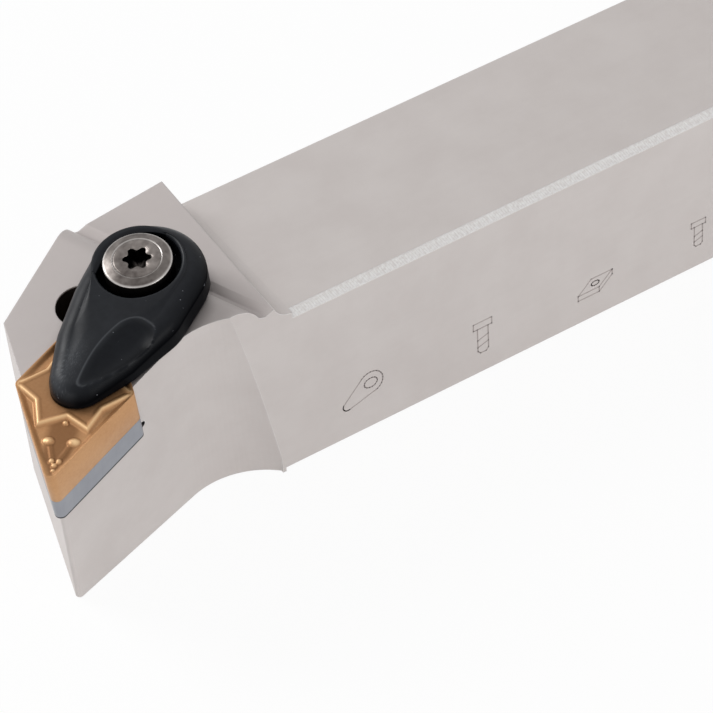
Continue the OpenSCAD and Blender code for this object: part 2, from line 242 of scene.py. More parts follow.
class Ends(Enum):
    """How a grid surface ends in its row direction."""

    JOINED = "joined"
    CAPPED = "capped"


def grid_piece(name: str, grid: np.ndarray, ends: Ends) -> bpy.types.Object:
    """A surface from a grid of points that is closed along its columns.

    Each cell becomes a quad. Joined ends connect the last row to the first. Capped ends get one
    more point at the middle of the first and the last row, and a fan of triangles to it. The sign
    of the enclosed volume decides which way round the faces go, so that they point outwards.

    Args:
        name: Name of the object.
        grid: Points in metres, rows by columns by 3.
        ends: How the first and last rows are closed.

    Returns:
        The object, linked to the scene.
    """
    rows, cols, _ = grid.shape
    index = np.arange(rows * cols).reshape(rows, cols)
    if ends is Ends.JOINED:
        index = np.vstack([index, index[:1]])
    here, ahead = index[:-1], index[1:]
    quads = np.stack([here, ahead, np.roll(ahead, -1, 1), np.roll(here, -1, 1)], -1).reshape(-1, 4)
    points = grid.reshape(-1, 3)
    fans = np.empty((0, 3), int)
    if ends is Ends.CAPPED:
        middle = np.array([grid[0].mean(0), grid[-1].mean(0)])
        first, last = index[0], index[-1]
        low = np.stack([first, np.roll(first, -1), np.full(cols, rows * cols)], -1)
        high = np.stack([np.roll(last, -1), last, np.full(cols, rows * cols + 1)], -1)
        points, fans = np.vstack([points, middle]), np.vstack([low, high])
    triangles = np.vstack([quads[:, :3], quads[:, [0, 2, 3]], fans])
    a, b, c = (points[triangles[:, k]] - points.mean(0) for k in range(3))
    if np.einsum("ij,ij->i", a, np.cross(b, c)).sum() < 0:
        quads, fans = quads[:, ::-1], fans[:, ::-1]
    mesh = bpy.data.meshes.new(name)
    mesh.from_pydata(points.tolist(), [], quads.tolist() + fans.tolist())
    mesh.update()
    mesh.shade_smooth()
    return add_object(name, mesh)


def sharpen(piece: bpy.types.Object, degrees: float) -> None:
    """Marks edges that turn by more than an angle as sharp.

    Args:
        piece: The object whose mesh is changed.
        degrees: The angle.
    """
    piece.data.set_sharp_from_angle(angle=math.radians(degrees))


def paint(piece: bpy.types.Object, tone: np.ndarray) -> None:
    """Stores how much each point is darker, below 0, or lighter, above 0, than its finish.

    Args:
        piece: The object whose mesh gets the attribute named tone.
        tone: One value for each point of the grid. Points beyond the grid get 0.
    """
    values = np.zeros(len(piece.data.vertices))
    values[: tone.size] = tone.ravel()
    piece.data.attributes.new(TONE, "FLOAT", "POINT").data.foreach_set("value", values)


def ease(value: np.ndarray, low: float, high: float) -> np.ndarray:
    """Smooth step: 0 below low, 1 above high, 3t squared less 2t cubed between them.

    Args:
        value: The input.
        low: Where the step starts.
        high: Where it ends.

    Returns:
        Values from 0 to 1.
    """
    t = np.clip((value - low) / (high - low), 0.0, 1.0)
    return t * t * (3.0 - 2.0 * t)


def soft_min(a: np.ndarray, b: np.ndarray, width: float) -> np.ndarray:
    """The lower of two heights, with the corner between them rounded.

    The corner is a quarter of the squared overlap over the width below the lower value.

    Args:
        a: Heights.
        b: Heights.
        width: Size of the rounded zone.

    Returns:
        Heights.
    """
    near = np.maximum(width - np.abs(a - b), 0.0) / width
    return np.minimum(a, b) - near * near * width * 0.25


def depth_in_outline(x: np.ndarray, y: np.ndarray, outline: np.ndarray) -> np.ndarray:
    """Signed distance to a closed outline, positive inside.

    The distance is the least over all sides, and a point is inside when a ray from it crosses
    the sides an odd number of times.

    Args:
        x: Coordinates.
        y: Coordinates.
        outline: Corners, n by 2.

    Returns:
        Distances with the shape of x.
    """
    start, end = outline, np.roll(outline, -1, 0)
    px, py = x[..., None], y[..., None]
    dx, dy = end[:, 0] - start[:, 0], end[:, 1] - start[:, 1]
    t = np.clip(((px - start[:, 0]) * dx + (py - start[:, 1]) * dy) / (dx * dx + dy * dy), 0, 1)
    away = np.hypot(px - start[:, 0] - t * dx, py - start[:, 1] - t * dy).min(-1)
    spans = (start[:, 1] > py) != (end[:, 1] > py)
    rise = np.where(dy == 0, np.finfo(float).tiny, dy)
    crossing = spans & (px < start[:, 0] + (py - start[:, 1]) * dx / rise)
    return np.where(crossing.sum(-1) % 2 == 1, away, -away)


# Finishes


class Shader:
    """A small helper that adds nodes to one material and links them.

    The constants are thresholds: cosines between the rounded and the true normal for an edge with a
    painted highlight, upward parts of the normal for a face that looks up, and heights in metres
    under which the floor would count as a neighbour.
    """

    highlight_edge_range = (0.98, 0.9)
    top_range = (0.6, 0.85)
    floor_range = (0.004, 0.007)
    contact_samples = 8

    def __init__(self, name: str) -> None:
        """Makes an empty node material with a Principled surface.

        Args:
            name: Name of the material.
        """
        self.material = bpy.data.materials.new(name)
        self.material.use_nodes = True
        self.tree = self.material.node_tree
        self.tree.nodes.clear()
        self.surface = self.tree.nodes.new("ShaderNodeBsdfPrincipled")
        output = self.tree.nodes.new("ShaderNodeOutputMaterial")
        self.join(self.surface.outputs[0], output.inputs[0])
        self.place = self.tree.nodes.new("ShaderNodeTexCoord").outputs["Object"]

    def join(self, out: bpy.types.NodeSocket, into: bpy.types.NodeSocket) -> None:
        """Links two sockets.

        Args:
            out: An output.
            into: An input, whose earlier link goes.
        """
        self.tree.links.new(out, into)

    def maths(self, kind: str, *values: object) -> bpy.types.NodeSocket:
        """A Math node.

        Args:
            kind: Its operation.
            *values: Numbers or sockets for its inputs.

        Returns:
            Its output.
        """
        node = self.tree.nodes.new("ShaderNodeMath")
        node.operation = kind
        for socket, value in zip(node.inputs, values):
            if isinstance(value, (int, float)):
                socket.default_value = value
            else:
                self.join(value, socket)
        return node.outputs[0]

    def product(self, *masks: bpy.types.NodeSocket) -> bpy.types.NodeSocket:
        """The product of several masks, 1 only where all of them are.

        Args:
            *masks: The masks.

        Returns:
            One mask.
        """
        total = masks[0]
        for mask in masks[1:]:
            total = self.maths("MULTIPLY", total, mask)
        return total

    def vector(
        self, kind: str, one: bpy.types.NodeSocket, other: Sequence[float]
    ) -> bpy.types.ShaderNode:
        """A Vector Math node.

        Args:
            kind: Its operation.
            one: Its first input.
            other: Its second input.

        Returns:
            The node.
        """
        node = self.tree.nodes.new("ShaderNodeVectorMath")
        node.operation = kind
        self.join(one, node.inputs[0])
        node.inputs[1].default_value = tuple(other)
        return node

    def height_over(self, axes: Axes) -> bpy.types.NodeSocket:
        """Height of a point over a frame's plane, by the dot product with its z axis.

        Args:
            axes: The frame.

        Returns:
            Metres, negative below the plane.
        """
        away = self.vector("SUBTRACT", self.place, axes.origin * MM).outputs[0]
        return self.vector("DOT_PRODUCT", away, axes.turn[:, 2]).outputs["Value"]

    def off_axis(self, axes: Axes) -> bpy.types.NodeSocket:
        """Distance of a point from a frame's z axis, by the length of the cross product with it.

        Args:
            axes: The frame.

        Returns:
            Metres.
        """
        away = self.vector("SUBTRACT", self.place, axes.origin * MM).outputs[0]
        crossed = self.vector("CROSS_PRODUCT", away, axes.turn[:, 2]).outputs[0]
        return self.vector("LENGTH", crossed, (0.0, 0.0, 0.0)).outputs["Value"]

    def split(self) -> Sequence[bpy.types.NodeSocket]:
        """The object coordinates one by one.

        Returns:
            Outputs x, y and z, in metres.
        """
        node = self.tree.nodes.new("ShaderNodeSeparateXYZ")
        self.join(self.place, node.inputs[0])
        return node.outputs

    def noise(
        self, scale: float, detail: float = 3.0, stretch: Sequence[float] = (1.0, 1.0, 1.0)
    ) -> bpy.types.NodeSocket:
        """Noise on object coordinates.

        Args:
            scale: Cells per metre.
            detail: Octaves.
            stretch: Factor of each coordinate, small where the pattern is long.

        Returns:
            The grey value, about 0.5 in the middle.
        """
        mapping = self.tree.nodes.new("ShaderNodeMapping")
        mapping.inputs["Scale"].default_value = stretch
        self.join(self.place, mapping.inputs["Vector"])
        node = self.tree.nodes.new("ShaderNodeTexNoise")
        node.inputs["Scale"].default_value = scale
        node.inputs["Detail"].default_value = detail
        self.join(mapping.outputs[0], node.inputs["Vector"])
        return node.outputs["Fac"]

    def between(
        self,
        factor: bpy.types.NodeSocket,
        low: Sequence[float],
        high: Sequence[float],
        at: Sequence[float],
    ) -> bpy.types.NodeSocket:
        """A colour ramp with two stops.

        Args:
            factor: Grey value.
            low: Colour at the first stop.
            high: Colour at the second stop.
            at: The places of the stops.

        Returns:
            The colour.
        """
        ramp = self.tree.nodes.new("ShaderNodeValToRGB")
        for stop, place, colour in zip(ramp.color_ramp.elements, at, (low, high)):
            stop.position = place
            stop.color = (*colour, 1.0)
        self.join(factor, ramp.inputs[0])
        return ramp.outputs[0]

    def blend(
        self, factor: bpy.types.NodeSocket, under: bpy.types.NodeSocket, over: Sequence[float]
    ) -> bpy.types.NodeSocket:
        """Mixes one more colour over a colour.

        Inputs 6 and 7 and output 2 of a Mix node are its colours.

        Args:
            factor: How much of the upper colour shows.
            under: The colour below.
            over: The colour above.

        Returns:
            The mixed colour.
        """
        node = self.tree.nodes.new("ShaderNodeMix")
        node.data_type = "RGBA"
        self.join(factor, node.inputs["Factor"])
        self.join(under, node.inputs[6])
        node.inputs[7].default_value = (*over, 1.0)
        return node.outputs[2]

    def lay(self, mask: bpy.types.NodeSocket, colour: Sequence[float]) -> None:
        """Lays one more colour over the surface's base colour.

        Args:
            mask: How much of it shows.
            colour: The colour.
        """
        base = self.surface.inputs["Base Color"]
        self.join(self.blend(mask, base.links[0].from_socket, colour), base)

    def tone(
        self, under: bpy.types.NodeSocket, deep: Sequence[float], bright: Sequence[float]
    ) -> bpy.types.NodeSocket:
        """Shades a colour by the attribute named tone, which holds painted shade and painted
        highlights, and takes the shine off where it is dark.

        Args:
            under: The colour below.
            deep: The colour where the tone is -1.
            bright: The colour where the tone is 1.

        Returns:
            The shaded colour.
        """
        node = self.tree.nodes.new("ShaderNodeAttribute")
        node.attribute_name = TONE
        darker = self.maths("MULTIPLY", node.outputs["Fac"], -1.0)
        shine = self.surface.inputs["Specular IOR Level"]
        kept = self.maths("SUBTRACT", 1.0, self.maths("MAXIMUM", darker, 0.0))
        self.join(self.maths("MULTIPLY", kept, shine.default_value), shine)
        return self.blend(node.outputs["Fac"], self.blend(darker, under, deep), bright)

    def ramp(
        self,
        value: bpy.types.NodeSocket,
        start: float,
        end: float,
        low: float = 0.0,
        high: float = 1.0,
    ) -> bpy.types.NodeSocket:
        """Spreads the stretch from start to end over low to high, and holds the ends.

        Args:
            value: The input.
            start: Where the output is low.
            end: Where the output is high.
            low: First output.
            high: Last output.

        Returns:
            The output.
        """
        node = self.tree.nodes.new("ShaderNodeMapRange")
        keys = ("From Min", "From Max", "To Min", "To Max")
        for key, number in zip(keys, (start, end, low, high)):
            node.inputs[key].default_value = number
        self.join(value, node.inputs["Value"])
        return node.outputs[0]

    def highlit_edges(self, rounded: bpy.types.NodeSocket) -> bpy.types.NodeSocket:
        """1 where the rounded normal leaves the true one, which is along the edges.

        Args:
            rounded: The normal with its edges rounded.

        Returns:
            The mask.
        """
        true = self.tree.nodes.new("ShaderNodeNewGeometry").outputs["Normal"]
        node = self.vector("DOT_PRODUCT", rounded, (0.0, 0.0, 0.0))
        self.join(true, node.inputs[1])
        return self.ramp(node.outputs["Value"], *self.highlight_edge_range)

    def facing_up(self) -> bpy.types.NodeSocket:
        """1 on faces that look upwards, otherwise 0, for a piece that never moves.

        Returns:
            The mask.
        """
        split = self.tree.nodes.new("ShaderNodeSeparateXYZ")
        self.join(self.tree.nodes.new("ShaderNodeNewGeometry").outputs["Normal"], split.inputs[0])
        return self.ramp(split.outputs["Z"], *self.top_range)

    def contact(self, reach: float, low: float, high: float) -> bpy.types.NodeSocket:
        """How closely other surfaces stand round a point, for painted shade in corners and seams.

        Args:
            reach: Distance in metres up to which surfaces count.
            low: Openness below which the mask is 1.
            high: Openness above which the mask is 0.

        Returns:
            The mask.
        """
        node = self.tree.nodes.new("ShaderNodeAmbientOcclusion")
        node.samples = self.contact_samples
        node.inputs["Distance"].default_value = reach
        off_floor = self.ramp(self.split()[2], *self.floor_range)
        return self.maths("MULTIPLY", self.ramp(node.outputs["AO"], low, high, 1.0, 0.0), off_floor)

    def specks(self, scale: float, share: float) -> bpy.types.NodeSocket:
        """1 on small scattered specks, otherwise 0.

        Args:
            scale: Cells per metre.
            share: Grey value above which the noise counts as a speck.

        Returns:
            The mask.
        """
        return self.maths("GREATER_THAN", self.noise(scale, detail=1.0), share)

    def bump(
        self,
        height: bpy.types.NodeSocket,
        depth: float,
        strength: float,
        over: bpy.types.NodeSocket,
    ) -> bpy.types.NodeSocket:
        """A Bump node.

        Args:
            height: Grey value.
            depth: Height in metres of a full step.
            strength: Strength of the node.
            over: Normal of the surface or bump below.

        Returns:
            The normal.
        """
        node = self.tree.nodes.new("ShaderNodeBump")
        node.inputs["Distance"].default_value = depth
        node.inputs["Strength"].default_value = strength
        self.join(height, node.inputs["Height"])
        self.join(over, node.inputs["Normal"])
        return node.outputs[0]


@dataclass(frozen=True)
class MetalFinish:
    """A metal surface with clouds of tone, a fine grain and long tool marks, and where asked
    painted shade and highlights from the tone attribute, painted shade in corners and painted
    highlights along edges.

    Scales are cells per metre, and depths, radii and reaches are metres.
    """

    name: str
    dark: tuple[float, float, float]
    light: tuple[float, float, float]
    metallic: float
    roughness: tuple[float, float]
    grain: float = 5000.0
    grain_depth: float = 4e-6
    marks: tuple[float, float, float] = (0.02, 1.0, 1.0)
    mark_scale: float = 1800.0
    mark_depth: float = 3e-6
    specular: float = 0.5
    cloud_share: float = 0.6
    deep: tuple[float, float, float] | None = None
    bright: tuple[float, float, float] = (0.8, 0.8, 0.8)
    speck_share: float = 0.0
    edge_radius: float = 8e-5
    edge_highlight: float = 0.0
    # Colour, reach and openness range of the painted shade where other surfaces stand close
    painted_shade: tuple[float, float, float] | None = None
    painted_shade_reach: float = 2.5e-3
    painted_shade_open: tuple[float, float] = (0.3, 0.85)
    cloud_scale: float = 160.0
    cloud_stops: tuple[float, float] = (0.35, 0.65)
    speck_scale: float = 2600.0
    sheen_scale: float = 900.0
    sheen_stops: tuple[float, float] = (0.3, 0.7)
    bump_strength: float = 0.5
    bevel_samples: int = 4

    def rounding(self, s: Shader) -> bpy.types.NodeSocket:
        """The normal with every edge rounded by the edge radius.

        Args:
            s: The shader that gets the node.

        Returns:
            The normal.
        """
        node = s.tree.nodes.new("ShaderNodeBevel")
        node.samples = self.bevel_samples
        node.inputs["Radius"].default_value = self.edge_radius
        return node.outputs[0]

    def shader(self) -> Shader:
        """Builds the material.

        Returns:
            The shader helper, so that a finish can be carried on.
        """
        s = Shader(self.name)
        p = s.surface.inputs
        p["Metallic"].default_value = self.metallic
        p["Specular IOR Level"].default_value = self.specular
        clouds = s.maths("MULTIPLY", s.noise(self.cloud_scale, detail=5.0), self.cloud_share)
        streaks = s.noise(self.mark_scale, detail=2.0, stretch=self.marks)
        both = s.maths("ADD", clouds, s.maths("MULTIPLY", streaks, 1.0 - self.cloud_share))
        colour = s.between(both, self.dark, self.light, self.cloud_stops)
        # The tone attribute paints shade and highlights into the colour
        if self.deep is not None:
            colour = s.tone(colour, self.deep, self.bright)
        s.join(colour, p["Base Color"])
        if self.speck_share > 0:
            s.lay(s.specks(self.speck_scale, self.speck_share), self.bright)
        # Painted shade: darker where other surfaces stand close, in corners, seams and under parts
        if self.painted_shade is not None:
            s.lay(s.contact(self.painted_shade_reach, *self.painted_shade_open), self.painted_shade)
        sheen = s.noise(self.sheen_scale, detail=4.0)
        s.join(s.ramp(sheen, *self.sheen_stops, *self.roughness), p["Roughness"])
        normal = self.rounding(s)
        # Painted highlight along every edge, in the bright colour
        if self.edge_highlight > 0:
            s.lay(s.maths("MULTIPLY", s.highlit_edges(normal), self.edge_highlight), self.bright)
        grain = s.noise(self.grain, detail=4.0)
        for height, depth in ((grain, self.grain_depth), (streaks, self.mark_depth)):
            normal = s.bump(height, depth, self.bump_strength, normal)
        s.join(normal, p["Normal"])
        return s


@dataclass(frozen=True)
class HolderFinish(MetalFinish):
    """The holder's satin steel, with cutter ribs on the near upper flat, a darker head top with
    painted shade behind the step's foot, and painted shade in the relief.

    The place of the relief and the distance of the step's foot are in millimetres, as in the
    frames of the seat. All other places and lengths are in metres.
    """

    near_y: float = -0.009
    top_z: float = 0.025
    flat_leg: float = 0.0009
    flat_start: float = -0.0378
    slack: float = 2e-5
    rib_pitch: float = 0.00034
    rib_slant: float = 0.45
    rib_depth: float = 3.5e-5
    rib_strength: float = 0.8
    ribs_light: tuple[float, float, float] = (0.8, 0.79, 0.785)
    mottle: tuple[float, float, float, float] = (0.35, 0.6, 0.4, 0.85)
    relief_at: tuple[float, float] = (24.232, 2.064)
    relief_radius: float = 3.1
    relief_top: float = -5e-4
    ridge_x: float = -0.0403
    # The step's foot and the two ranges after it place the painted shade behind the step
    step_foot: float = 32.5
    step_rise: tuple[float, float] = (-1e-3, 2e-4)
    step_fade: tuple[float, float, float, float] = (6e-4, 4.5e-3, 0.22, 0.0)
    # Colour, share and base level of the darker head top and its painted step shade
    head_top_tone: tuple[float, float, float] = (0.45, 0.405, 0.395)
    head_top_share: float = 0.6
    head_top_base: float = 0.85

    def shader(self) -> Shader:
        """Builds the steel, darkens the head's upward faces with painted shade behind the step's
        foot, lays the ribs over the flat and paints shade into the relief.

        Ribs are a sine along the shank, slanted a little across it.

        Returns:
            The shader helper.
        """
        s = super().shader()
        x, y, z = s.split()
        on_flat = self.on_flat(s, x, y, z)
        slanted = s.maths("ADD", x, s.maths("MULTIPLY", y, self.rib_slant))
        wave = s.maths("SINE", s.maths("MULTIPLY", slanted, FULL_TURN / self.rib_pitch))
        ribs = s.product(s.maths("ADD", s.maths("MULTIPLY", wave, 0.5), 0.5), on_flat)
        # The head's upward faces are darker, with painted shade behind the step's foot
        s.lay(s.maths("MULTIPLY", self.head_top_and_step_shade(s, x), self.head_top_share), self.head_top_tone)
        s.lay(s.product(on_flat, s.ramp(s.noise(self.speck_scale), *self.mottle)), self.ribs_light)
        normal = s.surface.inputs["Normal"]
        below = normal.links[0].from_socket
        s.join(s.bump(ribs, self.rib_depth, self.rib_strength, below), normal)
        # Painted shade down in the pocket's relief
        s.lay(self.in_relief(s), self.painted_shade)
        return s

    def on_flat(
        self,
        s: Shader,
        x: bpy.types.NodeSocket,
        y: bpy.types.NodeSocket,
        z: bpy.types.NodeSocket,
    ) -> bpy.types.NodeSocket:
        """1 on the near upper flat behind the ridge, otherwise 0.

        A point is on it when it is nearer than the flat's leg to both the near side and the
        top, but on neither of them.

        Args:
            s: The shader that gets the nodes.
            x: The coordinate along the shank.
            y: The coordinate across it.
            z: The height.

        Returns:
            The mask.
        """
        leg = self.flat_leg + self.slack
        return s.product(
            s.maths("LESS_THAN", y, self.near_y + leg),
            s.maths("GREATER_THAN", z, self.top_z - leg),
            s.maths("GREATER_THAN", x, self.flat_start),
            s.maths("GREATER_THAN", y, self.near_y + self.slack),
            s.maths("LESS_THAN", z, self.top_z - self.slack),
        )

    def head_top_and_step_shade(self, s: Shader, x: bpy.types.NodeSocket) -> bpy.types.NodeSocket:
        """How much darker the upward faces of the head are, most of all in the painted shade behind
        the foot of the step.

        Args:
            s: The shader that gets the nodes.
            x: The coordinate along the shank.

        Returns:
            The mask, above 1 in the shade of the step.
        """
        layout = SeatLayout()
        along = layout.seat().turned(2, layout.step_turn).moved(self.step_foot).turned(1, 90.0)
        behind = s.height_over(along)
        shade = s.product(s.ramp(behind, *self.step_rise), s.ramp(behind, *self.step_fade))
        before_ridge = s.maths("LESS_THAN", x, self.ridge_x)
        return s.product(s.facing_up(), before_ridge, s.maths("ADD", shade, self.head_top_base))

    def in_relief(self, s: Shader) -> bpy.types.NodeSocket:
        """1 down in the pocket's round relief, where painted shade goes, otherwise 0.

        Args:
            s: The shader that gets the nodes.

        Returns:
            The mask.
        """
        axes = SeatLayout().insert()
        reach = self.relief_radius * MM + 2.0 * self.slack
        inside = s.maths("LESS_THAN", s.off_axis(axes.moved(*self.relief_at)), reach)
        return s.product(inside, s.maths("LESS_THAN", s.height_over(axes), self.relief_top))


@dataclass(frozen=True)
class ShimFinish(MetalFinish):
    """The shim's grey carbide, with a painted shadow line along its lower edge."""

    seat_floor: float = -7.94
    # Height and colour of the painted shadow line along the lower edge
    shadow_line: float = 2.2e-4
    shadow_line_tone: tuple[float, float, float] = (0.02, 0.02, 0.022)

    def shader(self) -> Shader:
        """Builds the carbide and paints a shadow line on it just over the seat.

        Returns:
            The shader helper.
        """
        s = super().shader()
        over_seat = s.height_over(SeatLayout().insert().moved(0.0, 0.0, self.seat_floor))
        # Painted shadow along the shim's lower edge, where it sits on the seat
        s.lay(s.maths("LESS_THAN", over_seat, self.shadow_line), self.shadow_line_tone)
        return s


# The holder's steel takes painted shade in corners and in the relief, and a painted highlight along
# every edge
HOLDER_STEEL = HolderFinish(
    "holder_satin_steel", (0.58, 0.535, 0.517), (0.61, 0.567, 0.549), 0.25, (0.5, 0.58),
    grain=7000.0, grain_depth=4e-6, mark_scale=1500.0, mark_depth=1.5e-6, cloud_share=0.85,
    painted_shade=(0.02, 0.018, 0.017), edge_radius=1.8e-4, edge_highlight=0.9, bright=(0.84, 0.825, 0.815),
)
ETCHED_STEEL = MetalFinish(
    "etched_steel", (0.34, 0.296, 0.282), (0.42, 0.372, 0.355), 0.2, (0.55, 0.65),
    mark_scale=3000.0,
)
SHIM_CARBIDE = ShimFinish(
    "shim_carbide", (0.26, 0.27, 0.3), (0.3, 0.31, 0.34), 0.5, (0.36, 0.46),
    marks=(1.0, 1.0, 0.05), mark_scale=2500.0, mark_depth=1e-6, cloud_share=0.8,
)
# deep and bright colour the painted shade and highlights of the insert's tone
INSERT_COATING = MetalFinish(
    "insert_copper_coating", (0.475, 0.245, 0.107), (0.55, 0.302, 0.14), 0.45, (0.38, 0.48),
    grain=9000.0, grain_depth=2e-6, marks=(1.0, 1.0, 1.0), mark_scale=3000.0, mark_depth=1e-6,
    specular=0.35, deep=(0.13, 0.055, 0.022), bright=(0.95, 0.66, 0.36),
    painted_shade=(0.03, 0.014, 0.008), painted_shade_reach=1.5e-3, painted_shade_open=(0.1, 0.7),
)
# deep and bright colour the painted shade and highlights of the clamp's tone; bright also colours
# the dusty specks
CLAMP_BLACK = MetalFinish(
    "clamp_blued_black", (0.0075, 0.0085, 0.0112), (0.0125, 0.0143, 0.018), 0.0, (0.32, 0.42),
    grain=4200.0, grain_depth=4e-6, marks=(1.0, 1.0, 1.0), mark_scale=1400.0, mark_depth=5e-6,
    specular=0.15, deep=(0.003, 0.0032, 0.004), bright=(0.16, 0.17, 0.185), speck_share=0.79,
)
# deep and bright colour the painted shade and highlights of the screw's tone
SCREW_STEEL = MetalFinish(
    "screw_turned_steel", (0.075, 0.063, 0.058), (0.25, 0.225, 0.21), 0.85, (0.28, 0.42),
    grain=8000.0, grain_depth=3e-6, marks=(1.0, 1.0, 1.0), mark_scale=1100.0, mark_depth=4e-6,
    deep=(0.004, 0.004, 0.004), bright=(0.85, 0.82, 0.8),
)
SHIM_SCREW_STEEL = MetalFinish(
    "shim_screw_steel", (0.2, 0.19, 0.185), (0.3, 0.29, 0.285), 0.85, (0.3, 0.4), mark_scale=3000.0,
)
SPRING_WIRE = MetalFinish(
    "spring_wire", (0.38, 0.38, 0.4), (0.5, 0.5, 0.52), 0.95, (0.22, 0.32), mark_scale=5000.0,
)


# Insert


@dataclass
class CuttingInsert:
    """The rhombic insert with its moulded chip groove on both faces.

    Lengths are in millimetres. The corners of the ridge are counted from the hole. An oval is a
    centre from the nose, two half widths and a height, and a leg is two ends. A range is where a
    slope starts and where it ends. A highlight, a shade or a tone is a value of the tone attribute:
    a highlight is painted highlight and a shade is painted shade.
    """

    layout: SeatLayout
    thickness: float = 4.76
    hole: float = 2.58
    groove: float = 0.42
    land: float = 0.06
    hone: float = 0.035
    edge_inset: float = 0.02
    hole_chamfer: float = 0.2
    chamfer_width: float = 0.25
    groove_end: float = 0.8
    nose_share: float = 0.7
    nose_range: tuple[float, float] = (0.5, 3.0)
    bank_range: tuple[float, float] = (-0.36, 0.2)
    island_sink: float = 0.1
    island_range: tuple[float, float] = (0.34, 0.8)
    crest_at: float = 0.14
    crest_width: float = 0.2
    # Painted highlight on the crest and the domes, painted shade in the groove, plain tones
    # elsewhere
    crest_highlight: float = 0.75
    crest_range: tuple[float, float] = (0.1, 0.4)
    dome_power: float = 0.8
    dome_highlight: float = 1.25
    island_tone: float = -0.3
    island_tone_range: tuple[float, float] = (0.4, 0.7)
    groove_shade: float = -0.55
    groove_shade_range: tuple[float, float] = (0.3, 0.9)
    before_range: tuple[float, float] = (0.1, 0.5)
    before_half: float = 2.4
    before_fade: float = 1.2
    land_tone: float = -0.14
    land_tone_range: tuple[float, float] = (0.0, 0.3)
    leg_height: float = 0.07
    leg_range: tuple[float, float] = (0.1, 0.45)
    row_power: float = 1.12
    sharp_angle: float = 40.0
    side_points: int = 90
    corner_points: int = 20
    top_rows: int = 110
    floor_rows: int = 26
    ridge: tuple[tuple[float, float], ...] = (
        (-0.49, 6.95), (-0.49, 6.45), (-2.12, 4.25), (-5.57, 3.2), (-4.02, 0.0),
        (-5.77, -2.9), (-2.54, -3.94), (-0.49, -6.5), (-0.49, -7.0),
    )
    ovals: tuple[tuple[float, float, float, float, float], ...] = (
        (4.5, 1.4, 0.66, 0.8, 0.34), (4.6, -1.6, 0.7, 0.85, 0.34), (7.2, 0.0, 0.42, 0.42, 0.32),
        (1.66, 0.36, 0.46, 0.42, 0.28), (1.66, -0.52, 0.46, 0.42, 0.28),
        (1.06, -0.08, 0.42, 0.42, 0.28), (0.36, -0.12, 0.3, 0.28, 0.18),
    )
    legs: tuple[tuple[float, float, float, float], ...] = (
        (4.2, 1.15, 1.9, 0.3), (4.2, -1.3, 1.9, -0.45),
    )

    def outline(self) -> np.ndarray:
        """The rounded rhombus about the hole.

        At each corner the outline is an arc about the corner of a smaller rhombus, and between
        two arcs it is straight.

        Returns:
            Points, n by 2, counter-clockwise from the nose.
        """
        half = math.radians(self.layout.half_angle)
        reach = self.layout.half_circle - self.layout.nose_radius
        long, short = reach / math.sin(half), reach / math.cos(half)
        corners = np.array([[-long, 0.0], [0.0, -short], [long, 0.0], [0.0, short]])
        faces = np.radians([90.0, 270.0, 270.0, 450.0, 450.0]) + half * np.array([1, -1, 1, -1, 1])
        share = np.linspace(0.0, 1.0, self.corner_points)
        angles = faces[:4, None] + (faces[1:] - faces[:4])[:, None] * share
        arcs = corners[:, None] + self.layout.nose_radius * spokes(angles)
        ahead = np.roll(arcs[:, 0], -1, 0)
        along = np.linspace(0.0, 1.0, self.side_points + 2)[1:-1, None]
        sides = arcs[:, -1][:, None] + (ahead - arcs[:, -1])[:, None] * along
        return np.concatenate([arcs, sides], 1).reshape(-1, 2)

    def relief(
        self, x: np.ndarray, y: np.ndarray, edge: np.ndarray
    ) -> tuple[np.ndarray, np.ndarray]:
        """Height of a face above its outer plane, never positive, and its tone.

        The groove falls from the land and climbs up the island, whose side is the signed
        distance to the ridge outline, and behind the crest the island sinks again. Ovals are
        domes on the groove's floor, and legs are low ridges along short lines. The rear half is
        the front half turned by a half turn. The tone is a painted highlight on the crest and the
        domes, painted shade down in the groove before the island, darker on the island and a little
        darker away from the cutting edge.

        Args:
            x: Coordinates from the hole, along the long diagonal.
            y: Coordinates from the hole.
            edge: Distance from the cutting edge.

        Returns:
            Heights in millimetres, and tones.
        """
        way = np.where(x > 0, -1.0, 1.0)
        half = np.array(self.ridge)
        inside = depth_in_outline(x, y, np.concatenate([half, -half]))
        nose_x, fy = x * way + self.layout.hole_x, y * way
        near_nose = self.nose_share + (1.0 - self.nose_share) * ease(nose_x, *self.nose_range)
        floor = self.groove * ease(edge, self.land, self.groove_end) * near_nose
        sink = self.island_sink * ease(inside, *self.island_range)
        h = -floor * (1.0 - ease(inside, *self.bank_range)) - sink
        crest = np.exp(-(((inside - self.crest_at) / self.crest_width) ** 2))
        beside = ease(self.before_half - np.abs(fy), 0.0, self.before_fade)
        before = ease(-inside, *self.before_range) * beside
        # Painted highlight on the crest, painted shade in the groove, plain darker tone on the
        # island and away from the edge
        tone = self.crest_highlight * crest * ease(edge, *self.crest_range)
        tone = tone + self.island_tone * ease(inside, *self.island_tone_range)
        tone = tone + self.groove_shade * before * ease(edge, *self.groove_shade_range)
        tone = tone + self.land_tone * ease(edge, *self.land_tone_range)
        for cx, cy, rx, ry, tall in self.ovals:
            apart = ((nose_x - cx) / rx) ** 2 + ((fy - cy) / ry) ** 2
            dome = np.maximum(1.0 - apart, 0.0) ** self.dome_power
            h = h + tall * dome
            # Painted highlight on each dome
            tone = tone + self.dome_highlight * dome
        for ax, ay, bx, by in self.legs:
            dx, dy = bx - ax, by - ay
            t = np.clip(((nose_x - ax) * dx + (fy - ay) * dy) / (dx * dx + dy * dy), 0.0, 1.0)
            away = np.hypot(nose_x - ax - t * dx, fy - ay - t * dy)
            h = h + self.leg_height * (1.0 - ease(away, *self.leg_range))
        return np.minimum(h, 0.0), tone

